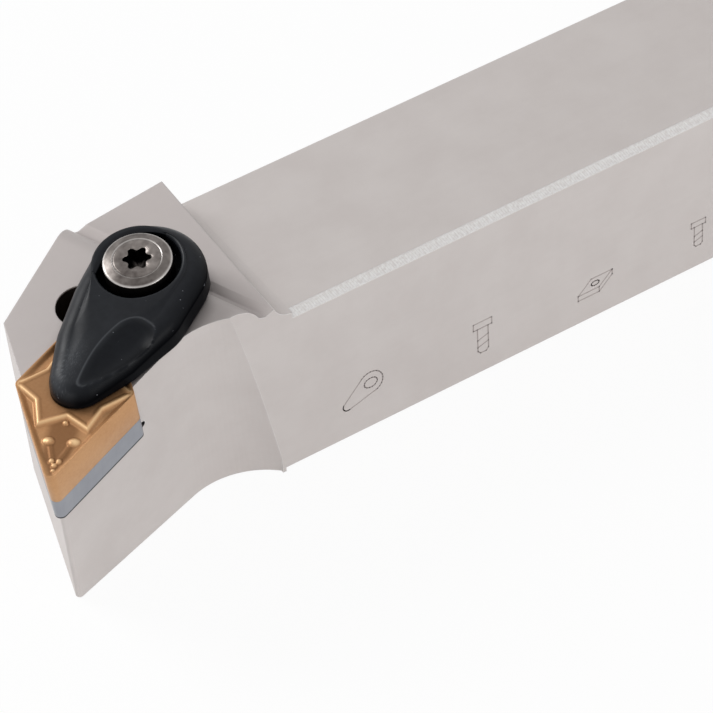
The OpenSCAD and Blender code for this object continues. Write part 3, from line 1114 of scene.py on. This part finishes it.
    def face(self, outline: np.ndarray, rows: int) -> tuple[np.ndarray, np.ndarray]:
        """One face as rows from the edge to the hole.

        A row is a blend between the outline and the circle of the hole, with rows closer
        together near the edge.

        Args:
            outline: Points of the edge.
            rows: Number of rows.

        Returns:
            Points, rows by columns by 3, with z from the outer plane, and their tones.
        """
        bore = self.hole * spokes(np.arctan2(outline[:, 1], outline[:, 0]))
        t = steps(rows, skip=0) ** self.row_power
        flat = outline + (bore - outline) * t
        half = math.radians(self.layout.half_angle)
        x, y = flat[..., 0], flat[..., 1]
        edge = self.layout.half_circle - np.abs(x) * math.sin(half) - np.abs(y) * math.cos(half)
        edge = np.minimum(edge, np.hypot(*(flat - outline).transpose(2, 0, 1)))
        z, tone = self.relief(x, y, edge)
        round_hole = ease(np.hypot(x, y), self.hole, self.hole + self.chamfer_width)
        return on_plan(flat, z - self.hole_chamfer * (1.0 - round_hole)), tone

    def build(self) -> bpy.types.Object:
        """Both faces, the side and the hole as one closed grid.

        Returns:
            The piece.
        """
        outline = self.outline()
        top, top_tone = self.face(outline, self.top_rows)
        floor, floor_tone = self.face(outline, self.floor_rows)
        floor[..., 2] = -self.thickness - floor[..., 2]
        inset = self.edge_inset * outline / np.hypot(outline[:, 0], outline[:, 1])[:, None]
        level = np.ones(len(outline))
        edge_ring = on_plan(outline, -self.hone * level)
        low_ring = on_plan(outline, (self.hone - self.thickness) * level)
        for face in (top, floor):
            face[0, :, :2] -= inset
        grid = np.concatenate([top[::-1], edge_ring[None], low_ring[None], floor])
        grid[..., 0] += self.layout.hole_x
        piece = grid_piece("insert_coated", self.layout.insert().place(grid), Ends.JOINED)
        sharpen(piece, self.sharp_angle)
        plain = np.zeros((2, len(outline)))
        paint(piece, np.concatenate([top_tone[::-1], plain, floor_tone]))
        return piece

    def dress(self, piece: bpy.types.Object) -> None:
        """Gives the insert its coating and its body, and hides the imported node it stands in for.

        Args:
            piece: The insert.
        """
        piece.data.materials.append(INSERT_COATING.shader().material)
        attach(piece, "holder")
        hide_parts("insert")


# Clamp


@dataclass
class TopClamp:
    """The moulded clamp: a drop-shaped plan, a rolled edge, a counterbore and a thumb hollow.

    Lengths are in millimetres in the clamp's frame. A circle of the plan and an end of the
    hollow are x, y and radius. A tone, a shade or a highlight is dark below 0 and light above it,
    and the pairs after it say where it starts and ends. A shade is painted shade, a highlight is
    painted highlight, and the dust beside the hollow is dusty specks with painted sheen.
    """

    layout: SeatLayout
    rim_height: float = 4.5
    tip_height: float = 2.7
    roll: float = 2.1
    crown: float = 0.25
    slope_start: float = 4.0
    seat_height: float = 1.7
    counterbore: float = 5.1
    bore: float = 2.55
    rim_round: float = 0.4
    hollow_depth: float = 1.35
    hollow_wide: tuple[float, float, float] = (10.2, 5.1, 3.15)
    hollow_narrow: tuple[float, float, float] = (17.2, 2.0, 1.0)
    hollow_bulge: float = 0.45
    front: float = 0.05
    heel: float = -2.85
    foot_x: float = 33.7
    edge_radius: float = 2.9
    foot_radius: float = 1.2
    hollow_corner: float = 0.05
    hollow_balls: int = 61
    skirt_lift: float = 0.12
    crown_rate: float = 1.6
    sharp_angle: float = 45.0
    columns: int = 420
    under_rows: int = 24
    skirt_rows: int = 7
    roll_rows: int = 15
    deck_rows: int = 92
    lip_rows: int = 8
    wall_rows: int = 6
    seat_rows: int = 5
    nose_columns: int = 64
    nose_profile: tuple[tuple[float, float], ...] = (
        (1.9, -1.4), (2.1, -1.32), (2.2, -1.1), (2.2, 0.6), (2.0, 0.9),
    )
    # Painted shade on the underside and side, in the counterbore, on the lower roll and the near
    # side; painted highlight on the lip and the hollow's edge
    skirt_shade: float = -0.9
    pit_shade: float = -0.8
    lip_highlight: float = 0.06
    roll_shade: float = -0.55
    roll_end: float = 0.55
    near_shade: float = -0.5
    near_side: tuple[float, float] = (0.1, 0.6)
    near_range: tuple[float, float] = (0.35, 0.9)
    edge_tone: float = 0.34
    edge_line: tuple[float, float] = (-0.02, 0.09)
    hollow_shade: float = -0.35
    hollow_range: tuple[float, float] = (0.1, 0.5)
    dust_and_sheen_tone: tuple[float, float] = (0.17, 0.5)
    dust_and_sheen_range: tuple[float, float] = (10.5, 14.5)
    dust_and_sheen_line: tuple[float, float] = (-0.9, 1.2)
    circles: np.ndarray = field(
        default_factory=lambda: np.array(
            [[0.0, 0.9, 7.1], [4.89, 1.2, 6.95], [10.432, 0.8, 5.6], [15.7, 0.4, 3.5]]
        )
    )

    def outline(self) -> tuple[np.ndarray, np.ndarray]:
        """The common outline of the plan's circles, spread evenly along its length.

        For each direction the outermost circle gives the point. Points and their outward
        directions are then taken at equal steps of the arc length.

        Returns:
            Points and unit directions, each columns by 2.
        """
        out = spokes(np.linspace(0.0, FULL_TURN, 4001))
        reach = out @ self.circles[:, :2].T + self.circles[:, 2]
        chosen = self.circles[reach.argmax(1)]
        points = chosen[:, :2] + chosen[:, 2:] * out
        run = np.concatenate([[0.0], np.cumsum(np.hypot(*np.diff(points, axis=0).T))])
        at = np.linspace(0.0, run[-1], self.columns, endpoint=False)
        even = np.stack([np.interp(at, run, points[:, k]) for k in (0, 1)], -1)
        way = np.stack([np.interp(at, run, out[:, k]) for k in (0, 1)], -1)
        return even, way / np.hypot(way[:, 0], way[:, 1])[:, None]

    def crest(self, x: np.ndarray) -> np.ndarray:
        """Height of the top: level round the screw, then falling to the tip ever faster.

        Args:
            x: Coordinates in the clamp's frame.

        Returns:
            Heights.
        """
        end = self.circles[-1, 0] + self.circles[-1, 2]
        t = np.clip((x - self.slope_start) / (end - self.slope_start), 0.0, 1.0)
        return self.rim_height - (self.rim_height - self.tip_height) * (0.6 * t + 0.4 * t * t)

    def hollow(self, x: np.ndarray, y: np.ndarray) -> np.ndarray:
        """Height of the thumb hollow's floor, very high where there is none.

        The floor is the lowest point over a row of balls from the wide end to the narrow end.
        Each ball cuts the top in a circle. The circle's radius falls evenly along the row, with
        a bulge in the middle, and the depth falls with it. The ball's radius is then the sum of
        both squares over twice the depth.

        Args:
            x: Coordinates in the clamp's frame.
            y: Coordinates in the clamp's frame.

        Returns:
            Heights.
        """
        share = np.linspace(0.0, 1.0, self.hollow_balls)
        wide, narrow = np.array(self.hollow_wide), np.array(self.hollow_narrow)
        cx, cy, circle = wide[:, None] + (narrow - wide)[:, None] * share
        circle = circle + self.hollow_bulge * 4.0 * share * (1.0 - share)
        deep = self.hollow_depth * circle / wide[2]
        ball = (circle**2 + deep**2) / (2.0 * deep)
        cz = self.crest(cx) + ball - deep
        square = ball**2 - (x[..., None] - cx) ** 2 - (y[..., None] - cy) ** 2
        floor = np.where(square > 0, cz - np.sqrt(np.maximum(square, 0.0)), 99.0)
        return floor.min(-1)

    def top(self, x: np.ndarray, y: np.ndarray, bare: np.ndarray) -> np.ndarray:
        """The top with the hollow let into it, its edge left narrow.

        Args:
            x: Coordinates in the clamp's frame.
            y: Coordinates in the clamp's frame.
            bare: Heights without the hollow.

        Returns:
            Heights.
        """
        return soft_min(bare, self.hollow(x, y), self.hollow_corner)

    def top_light_and_shade(self, x: np.ndarray, y: np.ndarray, bare: np.ndarray) -> np.ndarray:
        """Tone of the top: painted highlight along the hollow's edge, painted shade inside it, and
        dusty specks with painted sheen beside it.

        Args:
            x: Coordinates in the clamp's frame.
            y: Coordinates in the clamp's frame.
            bare: Heights without the hollow.

        Returns:
            Tones.
        """
        below = bare - self.hollow(x, y)
        middle, spread = self.edge_line
        edge = np.exp(-(((below - middle) / spread) ** 2))
        least, most = self.dust_and_sheen_tone
        grains = least + most * np.random.default_rng(5).random(x.shape) ** 8
        line, width = self.dust_and_sheen_line
        dust_and_sheen = grains * np.exp(-(((y - line) / width) ** 2)) * ease(x, *self.dust_and_sheen_range)
        inside = self.hollow_shade * ease(below, *self.hollow_range)
        # Painted highlight along the hollow's edge, painted shade inside it, dust with painted
        # sheen beside it
        return self.edge_tone * edge + inside + dust_and_sheen * (below < 0)

    def underside(self, flat: np.ndarray) -> np.ndarray:
        """Height of the underside, which follows the step of the head.

        It is level up to the step's edge arc, drops along that arc and the foot arc, and is
        level again behind the foot.

        Args:
            flat: Points in the clamp's frame, last axis x, y.

        Returns:
            Heights.
        """
        both = self.edge_radius + self.foot_radius
        turn = math.acos(1.0 - (self.front - self.heel) / both)
        edge_x = self.foot_x - both * math.sin(turn)
        joint = edge_x + self.edge_radius * math.sin(turn)
        d = self.layout.step_distance(flat)
        arc = self.front - self.edge_radius + np.sqrt(
            np.maximum(self.edge_radius**2 - np.clip(d - edge_x, 0.0, None) ** 2, 0.0)
        )
        foot = self.heel + self.foot_radius - np.sqrt(
            np.maximum(self.foot_radius**2 - np.clip(self.foot_x - d, 0.0, None) ** 2, 0.0)
        )
        return np.where(d < joint, arc, foot)

    def rows(self) -> tuple[np.ndarray, np.ndarray]:
        """The whole skin as rows: underside, side, rolled edge, top, counterbore and bore.

        Returns:
            Points, rows by columns by 3, in the clamp's frame, and their tones.
        """
        out, way = self.outline()
        spoke = spokes(np.arctan2(out[:, 1], out[:, 0]))

        start = self.bore * spoke
        below = start + (out - self.skirt_lift * way - start) * steps(self.under_rows, skip=0)
        under = on_plan(below, self.underside(below))
        foot = self.underside(out) + self.skirt_lift
        high = self.crest(out[:, 0]) - self.crown - self.roll
        skirt_z = foot + (high - foot) * steps(self.skirt_rows, skip=0)[..., 0]
        skirt = on_plan(np.broadcast_to(out, (*skirt_z.shape, 2)), skirt_z)

        risen = steps(self.roll_rows)
        turn = QUARTER_TURN * risen
        rolled = out - way * self.roll * (1.0 - np.cos(turn))
        x, y = rolled[..., 0], rolled[..., 1]
        bare = self.crest(x) - self.crown - self.roll * (1.0 - np.sin(turn[..., 0]))
        edge = on_plan(rolled, self.top(x, y, bare))
        risen = risen[..., 0]
        near = ease(way[:, 1], *self.near_side)
        # The rolled edge gets the top's painted highlight and shade, painted shade low on the roll
        # and more on the near side
        edge_tone = self.top_light_and_shade(x, y, bare)
        edge_tone = edge_tone + self.roll_shade * (1.0 - ease(risen, 0.0, self.roll_end))
        edge_tone = edge_tone + self.near_shade * near * (1.0 - ease(risen, *self.near_range))

        rim = (self.counterbore + self.rim_round) * spoke
        share = steps(self.deck_rows)
        inner = rolled[-1] + (rim - rolled[-1]) * share
        x, y = inner[..., 0], inner[..., 1]
        swell = np.minimum(share[..., 0] * self.crown_rate, 1.0) * math.pi
        bare = self.crest(x) - self.crown + self.crown * (1.0 - np.cos(swell)) / 2
        deck = on_plan(inner, self.top(x, y, bare))
        deck_tone = self.top_light_and_shade(x, y, bare)

        turn = QUARTER_TURN * steps(self.lip_rows)
        lip = (self.counterbore + self.rim_round * (1.0 - np.sin(turn))) * spoke
        lip_z = deck[-1, :, 2] - self.rim_round * (1.0 - np.cos(turn[..., 0]))
        lips = on_plan(lip, lip_z)
        wall_z = lip_z[-1] + (self.seat_height - lip_z[-1]) * steps(self.wall_rows)[..., 0]
        wall = on_plan(np.broadcast_to(self.counterbore * spoke, (*wall_z.shape, 2)), wall_z)
        inward = (self.bore - self.counterbore) * steps(self.seat_rows)
        seat = (self.counterbore + inward) * spoke
        seats = on_plan(seat, np.full(seat.shape[:2], self.seat_height))

        skin = np.concatenate([under, skirt, edge, deck, lips, wall, seats])
        # Painted shade on the underside and side, painted highlight on the counterbore's lip,
        # painted shade down in the counterbore
        tone = np.full(skin.shape[:2], self.skirt_shade)
        edge_row, deck_row, lip_row, wall_row = np.cumsum(
            [len(under) + len(skirt), len(edge), len(deck), len(lips)]
        )
        tone[edge_row:deck_row] = edge_tone
        tone[deck_row:lip_row] = deck_tone
        tone[lip_row:wall_row] = self.lip_highlight
        tone[wall_row:] = self.pit_shade
        return skin, tone

    def build(self) -> bpy.types.Object:
        """The clamp's skin as one closed grid.

        Returns:
            The piece.
        """
        skin, tone = self.rows()
        piece = grid_piece("clamp_moulded", self.layout.clamp().place(skin), Ends.JOINED)
        sharpen(piece, self.sharp_angle)
        paint(piece, tone)
        return piece

    def build_nose(self) -> bpy.types.Object:
        """The round nose that reaches into the insert's hole.

        Its profile, as radius and height, is turned about the hole's axis.

        Returns:
            The piece.
        """
        grid = turned(np.array(self.nose_profile), self.nose_columns)
        grid[..., 0] += self.layout.clamp_reach
        return grid_piece("clamp_nose", self.layout.clamp().place(grid), Ends.CAPPED)

    def dress(self, piece: bpy.types.Object, nose: bpy.types.Object) -> None:
        """Gives the clamp its black finish and its body, and hides the imported node it stands in
        for.

        Args:
            piece: The clamp's skin.
            nose: Its nose.
        """
        black = CLAMP_BLACK.shader().material
        for part in (piece, nose):
            part.data.materials.append(black)
            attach(part, "clamp")
            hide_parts("clamp")


def turned(profile: np.ndarray, columns: int) -> np.ndarray:
    """A profile turned about z.

    Args:
        profile: Radius and height, n by 2.
        columns: Number of points round the axis.

    Returns:
        Points, n by columns by 3.
    """
    round_z = spokes(np.linspace(0.0, FULL_TURN, columns, endpoint=False))
    height = np.broadcast_to(profile[:, 1:], (len(profile), columns))
    return on_plan(profile[:, :1, None] * round_z, height)


# Clamp screw


@dataclass
class ClampScrew:
    """The clamp screw: a bevelled head with a six-lobe socket and a threaded stem.

    Radii, heights and depths are in millimetres in the clamp's frame. A socket step is a depth
    and how much wider the socket is there.
    """

    layout: SeatLayout
    foot: float = 1.75
    top: float = 5.25
    head: float = 4.15
    ring: float = 2.86
    socket: float = 1.44
    lobe: float = 0.24
    stem: float = 2.5
    stem_end: float = -17.3
    pitch: float = 0.8
    thread_depth: float = 0.45
    thread_top: float = -6.0
    stem_play: float = 0.01
    lobe_count: int = 6
    lobe_power: float = 0.8
    socket_steps: tuple[tuple[float, float], ...] = (
        (0.0, 0.1), (0.04, 0.05), (0.14, 0.0), (0.6, 0.0), (1.2, 0.0), (2.1, 0.0), (2.2, -0.12),
    )
    thread_flat: float = 1.35
    thread_slope: float = 3.4
    stem_point: float = 0.6
    stem_in_head: float = 0.6
    sharp_angle: float = 50.0
    head_columns: int = 288
    stem_rows: int = 230
    stem_columns: int = 72
    # Painted shade on the head's underside and side, painted highlight on its rim; the bevel and
    # ring tones are plain darker and lighter bands
    wall_shade: float = -0.9
    rim_highlight: float = 0.4
    bevel_tone: float = -0.2
    ring_tone: float = 0.3

    def build_head(self) -> bpy.types.Object:
        """The head from its underside over the bevel and into the socket.

        Outside it is a turned profile. In the socket the radius swings by the lobe height six
        times round, rounded by a power of the cosine.

        Returns:
            The piece.
        """
        f, t, h, r = self.foot, self.top, self.head, self.ring
        # Radius and height, from the underside up the wall, over the bevel and the ring
        profile = np.array(
            [
                [1.2, f], [h - 0.25, f], [h - 0.07, f + 0.07], [h, f + 0.25], [h, t - 0.55],
                [h - 0.03, t - 0.46], [h - 0.1, t - 0.39], [h - 0.35, t - 0.29],
                [h - 0.7, t - 0.17], [r + 0.22, t - 0.05], [r + 0.12, t - 0.03],
                [r + 0.06, t - 0.1], [r - 0.02, t - 0.1], [r - 0.08, t - 0.02],
                [r - 0.2, t], [2.2, t],
            ]
        )
        outside = turned(profile, self.head_columns)
        angle = np.linspace(0.0, FULL_TURN, self.head_columns, endpoint=False)
        swing = np.cos(self.lobe_count * angle)
        lobes = self.socket + self.lobe * np.sign(swing) * np.abs(swing) ** self.lobe_power
        depth, grow = np.array(self.socket_steps).T
        radius = lobes[None] + grow[:, None]
        height = np.broadcast_to((t - depth)[:, None], radius.shape)
        walls = on_plan(radius[..., None] * spokes(angle), height)
        grid = np.concatenate([outside, walls])
        piece = grid_piece("screw_head", self.layout.clamp().place(grid), Ends.CAPPED)
        sharpen(piece, self.sharp_angle)
        # Painted shade under and on the side of the head and down in the socket, painted highlight
        # on the rim, a darker bevel and a lighter ring
        tones = np.concatenate([np.zeros(len(outside) + 2), np.full(len(walls) - 2, -1.0)])
        tones[:5] = self.wall_shade
        tones[5:7] = self.rim_highlight
        tones[7:10] = self.bevel_tone
        tones[10:12] = self.ring_tone
        paint(piece, np.broadcast_to(tones[:, None], grid.shape[:2]))
        return piece

    def build_stem(self) -> bpy.types.Object:
        """The threaded stem.

        The radius falls from the crest by the thread's depth where the height, less the pitch
        times the turn, is half a pitch from a crest. The thread fades out at both ends.

        Returns:
            The piece.
        """
        z = np.linspace(self.stem_end, self.foot + self.stem_in_head, self.stem_rows)[:, None]
        angle = np.linspace(0.0, FULL_TURN, self.stem_columns, endpoint=False)[None]
        phase = (z / self.pitch - angle / FULL_TURN) % 1.0
        cut = np.clip(self.thread_flat - np.abs(phase - 0.5) * self.thread_slope, 0.0, 1.0)
        fade = ease(z, self.stem_end, self.stem_end + 0.5)
        fade = fade * (1.0 - ease(z, self.thread_top - 1.0, self.thread_top))
        radius = self.stem - self.stem_play - self.thread_depth * cut * fade
        point = 1.0 - ease(z, self.stem_end - 0.2, self.stem_end + 0.7)
        radius = radius - self.stem_point * point
        height = np.broadcast_to(z, radius.shape)
        grid = on_plan(radius[..., None] * spokes(angle), height)
        return grid_piece("screw_stem", self.layout.clamp().place(grid), Ends.CAPPED)

    def dress(self, head: bpy.types.Object, stem: bpy.types.Object) -> None:
        """Gives the screw its steel and its body, and hides the imported node it stands in for.

        Args:
            head: The head.
            stem: The stem.
        """
        steel = SCREW_STEEL.shader().material
        for part in (head, stem):
            part.data.materials.append(steel)
            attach(part, "clamp_screw")
            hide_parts("clamp_screw")


# Etched marks


@dataclass
class EtchedMarks:
    """Small line drawings on the shank's near side: a clamp, two screws and an insert.

    Lengths are in millimetres, and places on the side are x along the shank and y up. A circle
    is x, y and radius, a ring is its half width and its height over its width, and a screw is
    its place and its scale.
    """

    side_y: float = -9.0
    width: float = 0.17
    proud: float = 0.003
    sunk: float = 0.03
    drop_columns: int = 25
    drop_circles: tuple[tuple[float, float, float], ...] = ((1.0, 0.9, 1.75), (-2.4, -1.2, 0.7))
    ring_columns: int = 15
    clamp_at: tuple[float, float] = (-28.7, 6.9)
    clamp_ring: tuple[float, float] = (0.95, 0.8)
    insert_at: tuple[float, float] = (5.6, 5.9)
    insert_ring: tuple[float, float] = (0.6, 0.6)
    insert_ring_up: float = 0.25
    screws: tuple[tuple[tuple[float, float], float], ...] = (
        ((-11.3, 3.8), 1.05), ((21.5, 4.0), 0.85),
    )
    screw: tuple[tuple[tuple[float, float], ...], ...] = (
        ((-1.3, 4.9), (-1.3, 3.9), (1.3, 3.9), (1.3, 4.9), (-1.3, 4.9)),
        ((-0.75, 3.9), (-0.75, 0.4), (-0.4, 0.0), (0.4, 0.0), (0.75, 0.4), (0.75, 3.9)),
        ((-0.75, 1.0), (0.75, 1.5)),
        ((-0.75, 2.1), (0.75, 2.6)),
    )
    rhomb: tuple[tuple[tuple[float, float], ...], ...] = (
        (
            (-2.6, -0.7), (0.6, -0.7), (2.6, 1.2), (-0.6, 1.2), (-2.6, -0.7),
            (-2.6, -1.5), (0.6, -1.5), (2.6, 0.4), (2.6, 1.2),
        ),
        ((0.6, -0.7), (0.6, -1.5)),
    )

    def drop(self) -> np.ndarray:
        """The closed common outline of a large and a small circle.

        Returns:
            Points, n by 2.
        """
        out = spokes(np.linspace(0.0, FULL_TURN, self.drop_columns))
        circles = np.array(self.drop_circles)
        best = circles[(out @ circles[:, :2].T + circles[:, 2]).argmax(1)]
        return best[:, :2] + best[:, 2:] * out

    def ring(self, radius: float, squash: float) -> np.ndarray:
        """A closed ring about the origin.

        Args:
            radius: Its half width.
            squash: Its height over its width.

        Returns:
            Points, n by 2.
        """
        return radius * spokes(np.linspace(0.0, FULL_TURN, self.ring_columns)) * [1.0, squash]

    def lines(self) -> list[np.ndarray]:
        """All open and closed lines as points of the side, x along the shank and y up.

        Returns:
            One array of points for each line.
        """
        clamp_at, insert_at = np.array(self.clamp_at), np.array(self.insert_at)
        eye = clamp_at + self.drop_circles[0][:2]
        hole = insert_at + [0.0, self.insert_ring_up]
        lines = [self.drop() + clamp_at, self.ring(*self.clamp_ring) + eye]
        lines += [np.array(line) + insert_at for line in self.rhomb]
        lines += [self.ring(*self.insert_ring) + hole]
        for place, size in self.screws:
            lines += [np.array(line) * size + place for line in self.screw]
        return lines

    def build(self) -> bpy.types.Object:
        """Every stretch of every line as a thin closed bar let into the side.

        A bar reaches half its width beyond both ends, so that the corners of a line close.

        Returns:
            The piece.
        """
        starts = np.concatenate([line[:-1] for line in self.lines()])
        ends = np.concatenate([line[1:] for line in self.lines()])
        way = ends - starts
        way = way / np.hypot(way[:, 0], way[:, 1])[:, None] * self.width / 2
        across = way[:, ::-1] * [-1.0, 1.0]
        starts, ends = starts - way, ends + way
        flat = np.stack([starts - across, ends - across, ends + across, starts + across], 1)
        sides = (self.side_y - self.proud, self.side_y + self.sunk)
        level = np.ones(flat.shape[:2])
        layers = [np.stack([flat[..., 0], y * level, flat[..., 1]], -1) for y in sides]
        points = np.concatenate(layers, 1)
        bar = np.array(
            [[0, 1, 2, 3], [7, 6, 5, 4], [0, 4, 5, 1], [1, 5, 6, 2], [2, 6, 7, 3], [3, 7, 4, 0]]
        )
        faces = (bar + 8 * np.arange(len(points))[:, None, None]).reshape(-1, 4)
        mesh = bpy.data.meshes.new("etched_marks")
        mesh.from_pydata((points.reshape(-1, 3) * MM).tolist(), [], faces.tolist())
        mesh.update()
        return add_object("etched_marks", mesh)

    def dress(self, piece: bpy.types.Object) -> None:
        """Gives the marks their dull tone and the holder's body.

        Args:
            piece: The marks.
        """
        piece.data.materials.append(ETCHED_STEEL.shader().material)
        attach(piece, "holder")


# Nodes that keep their solids


@dataclass
class KeptSolids:
    """The nodes whose shape stays, each with its finish."""

    finishes: dict[str, MetalFinish] = field(
        default_factory=lambda: {
            "holder_body": HOLDER_STEEL,
            "shim": SHIM_CARBIDE,
            "shim_screw": SHIM_SCREW_STEEL,
            "clamp_spring": SPRING_WIRE,
        }
    )

    def dress(self) -> None:
        """Puts a finish on each node."""
        for node, finish in self.finishes.items():
            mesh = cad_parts[node].data
            mesh.materials.clear()
            mesh.materials.append(finish.shader().material)
            LOG.info("dressed %s", node)


# Stage, lamps and camera


def join_all(tree: bpy.types.NodeTree, *pairs: tuple[bpy.types.NodeSocket, ...]) -> None:
    """Links pairs of sockets.

    Args:
        tree: Their node tree.
        *pairs: An output and an input each.
    """
    for out, into in pairs:
        tree.links.new(out, into)


@dataclass
class Studio:
    """A plain pale floor, a soft sky and three large lamps.

    A lamp is its name, its place in metres, the length of its side in metres, and its watts.
    """

    floor_size: float = 6.0
    floor_z: float = -0.0002
    floor_tone: float = 0.97
    floor_shadow: float = 0.06
    sky: float = 0.42
    aim: tuple[float, float, float] = (-0.05, 0.0, 0.02)
    lamps: tuple[tuple[str, tuple[float, float, float], float, float], ...] = (
        ("key", (-0.36, 0.56, 0.48), 0.38, 3.6),
        ("front_fill", (0.25, -0.8, 0.1), 0.45, 3.3),
        ("left_fill", (-0.7, -0.25, 0.12), 0.4, 0.6),
    )

    def white_for_view(self, tree: bpy.types.NodeTree) -> bpy.types.NodeSocket:
        """1 for rays from the camera, from gloss and through glass, otherwise 0.

        Args:
            tree: The node tree that gets the nodes.

        Returns:
            The factor.
        """
        path = tree.nodes.new("ShaderNodeLightPath")
        total = path.outputs["Is Camera Ray"]
        for key in ("Is Glossy Ray", "Is Transmission Ray"):
            node = tree.nodes.new("ShaderNodeMath")
            node.operation = "MAXIMUM"
            join_all(tree, (total, node.inputs[0]), (path.outputs[key], node.inputs[1]))
            total = node.outputs[0]
        return total

    def build_sky(self) -> None:
        """A grey sky that light comes from, white where it is seen."""
        world = bpy.data.worlds.new("soft_sky")
        bpy.context.scene.world = world
        world.use_nodes = True
        tree = world.node_tree
        tree.nodes.clear()
        out = tree.nodes.new("ShaderNodeOutputWorld")
        back = tree.nodes.new("ShaderNodeBackground")
        back.inputs["Color"].default_value = (1.0, 1.0, 1.0, 1.0)
        spread = tree.nodes.new("ShaderNodeMapRange")
        spread.inputs["To Min"].default_value = self.sky
        spread.inputs["To Max"].default_value = 1.0
        join_all(
            tree,
            (self.white_for_view(tree), spread.inputs["Value"]),
            (spread.outputs[0], back.inputs["Strength"]),
            (back.outputs[0], out.inputs["Surface"]),
        )

    def build_floor(self) -> None:
        """A floor under the shank, near white, which keeps the object's shadow."""
        corners = np.array([[-1.0, -1.0], [1.0, -1.0], [1.0, 1.0], [-1.0, 1.0]])
        points = on_plan(corners * self.floor_size / 2, np.full(4, self.floor_z))
        mesh = bpy.data.meshes.new("floor")
        mesh.from_pydata(points.tolist(), [], [(0, 1, 2, 3)])
        floor = add_object("floor", mesh)
        material = bpy.data.materials.new("floor_white")
        material.use_nodes = True
        tree = material.node_tree
        tree.nodes.clear()
        out = tree.nodes.new("ShaderNodeOutputMaterial")
        paper = tree.nodes.new("ShaderNodeBsdfDiffuse")
        paper.inputs["Color"].default_value = (*[self.floor_tone] * 3, 1.0)
        glow = tree.nodes.new("ShaderNodeEmission")
        mix = tree.nodes.new("ShaderNodeMixShader")
        share = tree.nodes.new("ShaderNodeMath")
        share.operation = "MULTIPLY"
        share.inputs[1].default_value = 1.0 - self.floor_shadow
        join_all(
            tree,
            (self.white_for_view(tree), share.inputs[0]),
            (share.outputs[0], mix.inputs[0]),
            (paper.outputs[0], mix.inputs[1]),
            (glow.outputs[0], mix.inputs[2]),
            (mix.outputs[0], out.inputs["Surface"]),
        )
        mesh.materials.append(material)

    def lamp(self, name: str, place: Sequence[float], size: float, power: float) -> None:
        """A square area lamp that faces the head of the holder.

        Args:
            name: Its name.
            place: Where it hangs, in metres.
            size: Length of its side.
            power: Watts.
        """
        data = bpy.data.lights.new(name, "AREA")
        data.shape = "SQUARE"
        data.size = size
        data.energy = power
        lamp = add_object(name, data)
        lamp.location = place
        way = Vector(self.aim) - Vector(place)
        lamp.rotation_euler = way.to_track_quat("-Z", "Y").to_euler()

    def build(self) -> None:
        """Sky, floor and lamps."""
        self.build_sky()
        self.build_floor()
        for lamp in self.lamps:
            self.lamp(*lamp)


@dataclass
class PhotoCamera:
    """The camera at the photograph's viewing angle.

    Angles are in degrees. The distance and the pivot are in millimetres, and the focal length,
    the point and the picture's side are in pixels.
    """

    azimuth: float = 30.529
    elevation: float = 43.692
    roll: float = -3.656
    distance: float = 465.495
    focal: float = 4119.946
    point: tuple[float, float] = (48.074, 478.844)
    pivot: tuple[float, float, float] = (-75.0, -16.0, 25.0)
    picture: float = 713.0
    sensor: float = 36.0
    clip: tuple[float, float] = (0.01, 20.0)

    def build(self) -> None:
        """Places the camera so that the pivot falls on its point of the picture.

        The camera looks against the direction given by azimuth and elevation, is rolled about
        it, and is moved sideways by the point's offset from the middle at the pivot's distance.
        """
        a, e, roll = (math.radians(v) for v in (self.azimuth, self.elevation, self.roll))
        back = Vector((-math.sin(a) * math.cos(e), -math.cos(a) * math.cos(e), math.sin(e)))
        flat = Vector((math.cos(a), -math.sin(a), 0.0))
        upright = back.cross(flat)
        right = math.cos(roll) * flat + math.sin(roll) * upright
        up = -math.sin(roll) * flat + math.cos(roll) * upright
        middle = self.picture / 2
        across = (self.point[0] - middle) / self.focal * self.distance
        above = -(self.point[1] - middle) / self.focal * self.distance
        place = Vector(self.pivot) - across * right - above * up + self.distance * back
        data = bpy.data.cameras.new("photo_camera")
        data.sensor_width = self.sensor
        data.lens = self.focal / self.picture * self.sensor
        data.clip_start, data.clip_end = self.clip
        camera = add_object("photo_camera", data)
        turn = Matrix((right, up, back)).transposed()
        camera.matrix_world = Matrix.Translation(place * MM) @ turn.to_4x4()
        bpy.context.scene.camera = camera


def report(piece: bpy.types.Object) -> bpy.types.Object:
    """Logs a piece's name and face count.

    Args:
        piece: The piece.

    Returns:
        The same piece.
    """
    LOG.info("%s: %d faces", piece.name, len(piece.data.polygons))
    return piece


def main() -> None:
    """Builds and dresses every piece, then the stage and the camera."""
    logging.basicConfig(level=logging.INFO, format="%(message)s")
    layout = SeatLayout()
    PhotoCamera().build()
    KeptSolids().dress()
    insert = CuttingInsert(layout)
    insert.dress(report(insert.build()))
    clamp = TopClamp(layout)
    clamp.dress(report(clamp.build()), report(clamp.build_nose()))
    screw = ClampScrew(layout)
    screw.dress(report(screw.build_head()), report(screw.build_stem()))
    marks = EtchedMarks()
    marks.dress(report(marks.build()))
    Studio().build()
    view = bpy.context.scene.view_settings
    view.view_transform = "Standard"


if __name__ == "__main__":
    main()
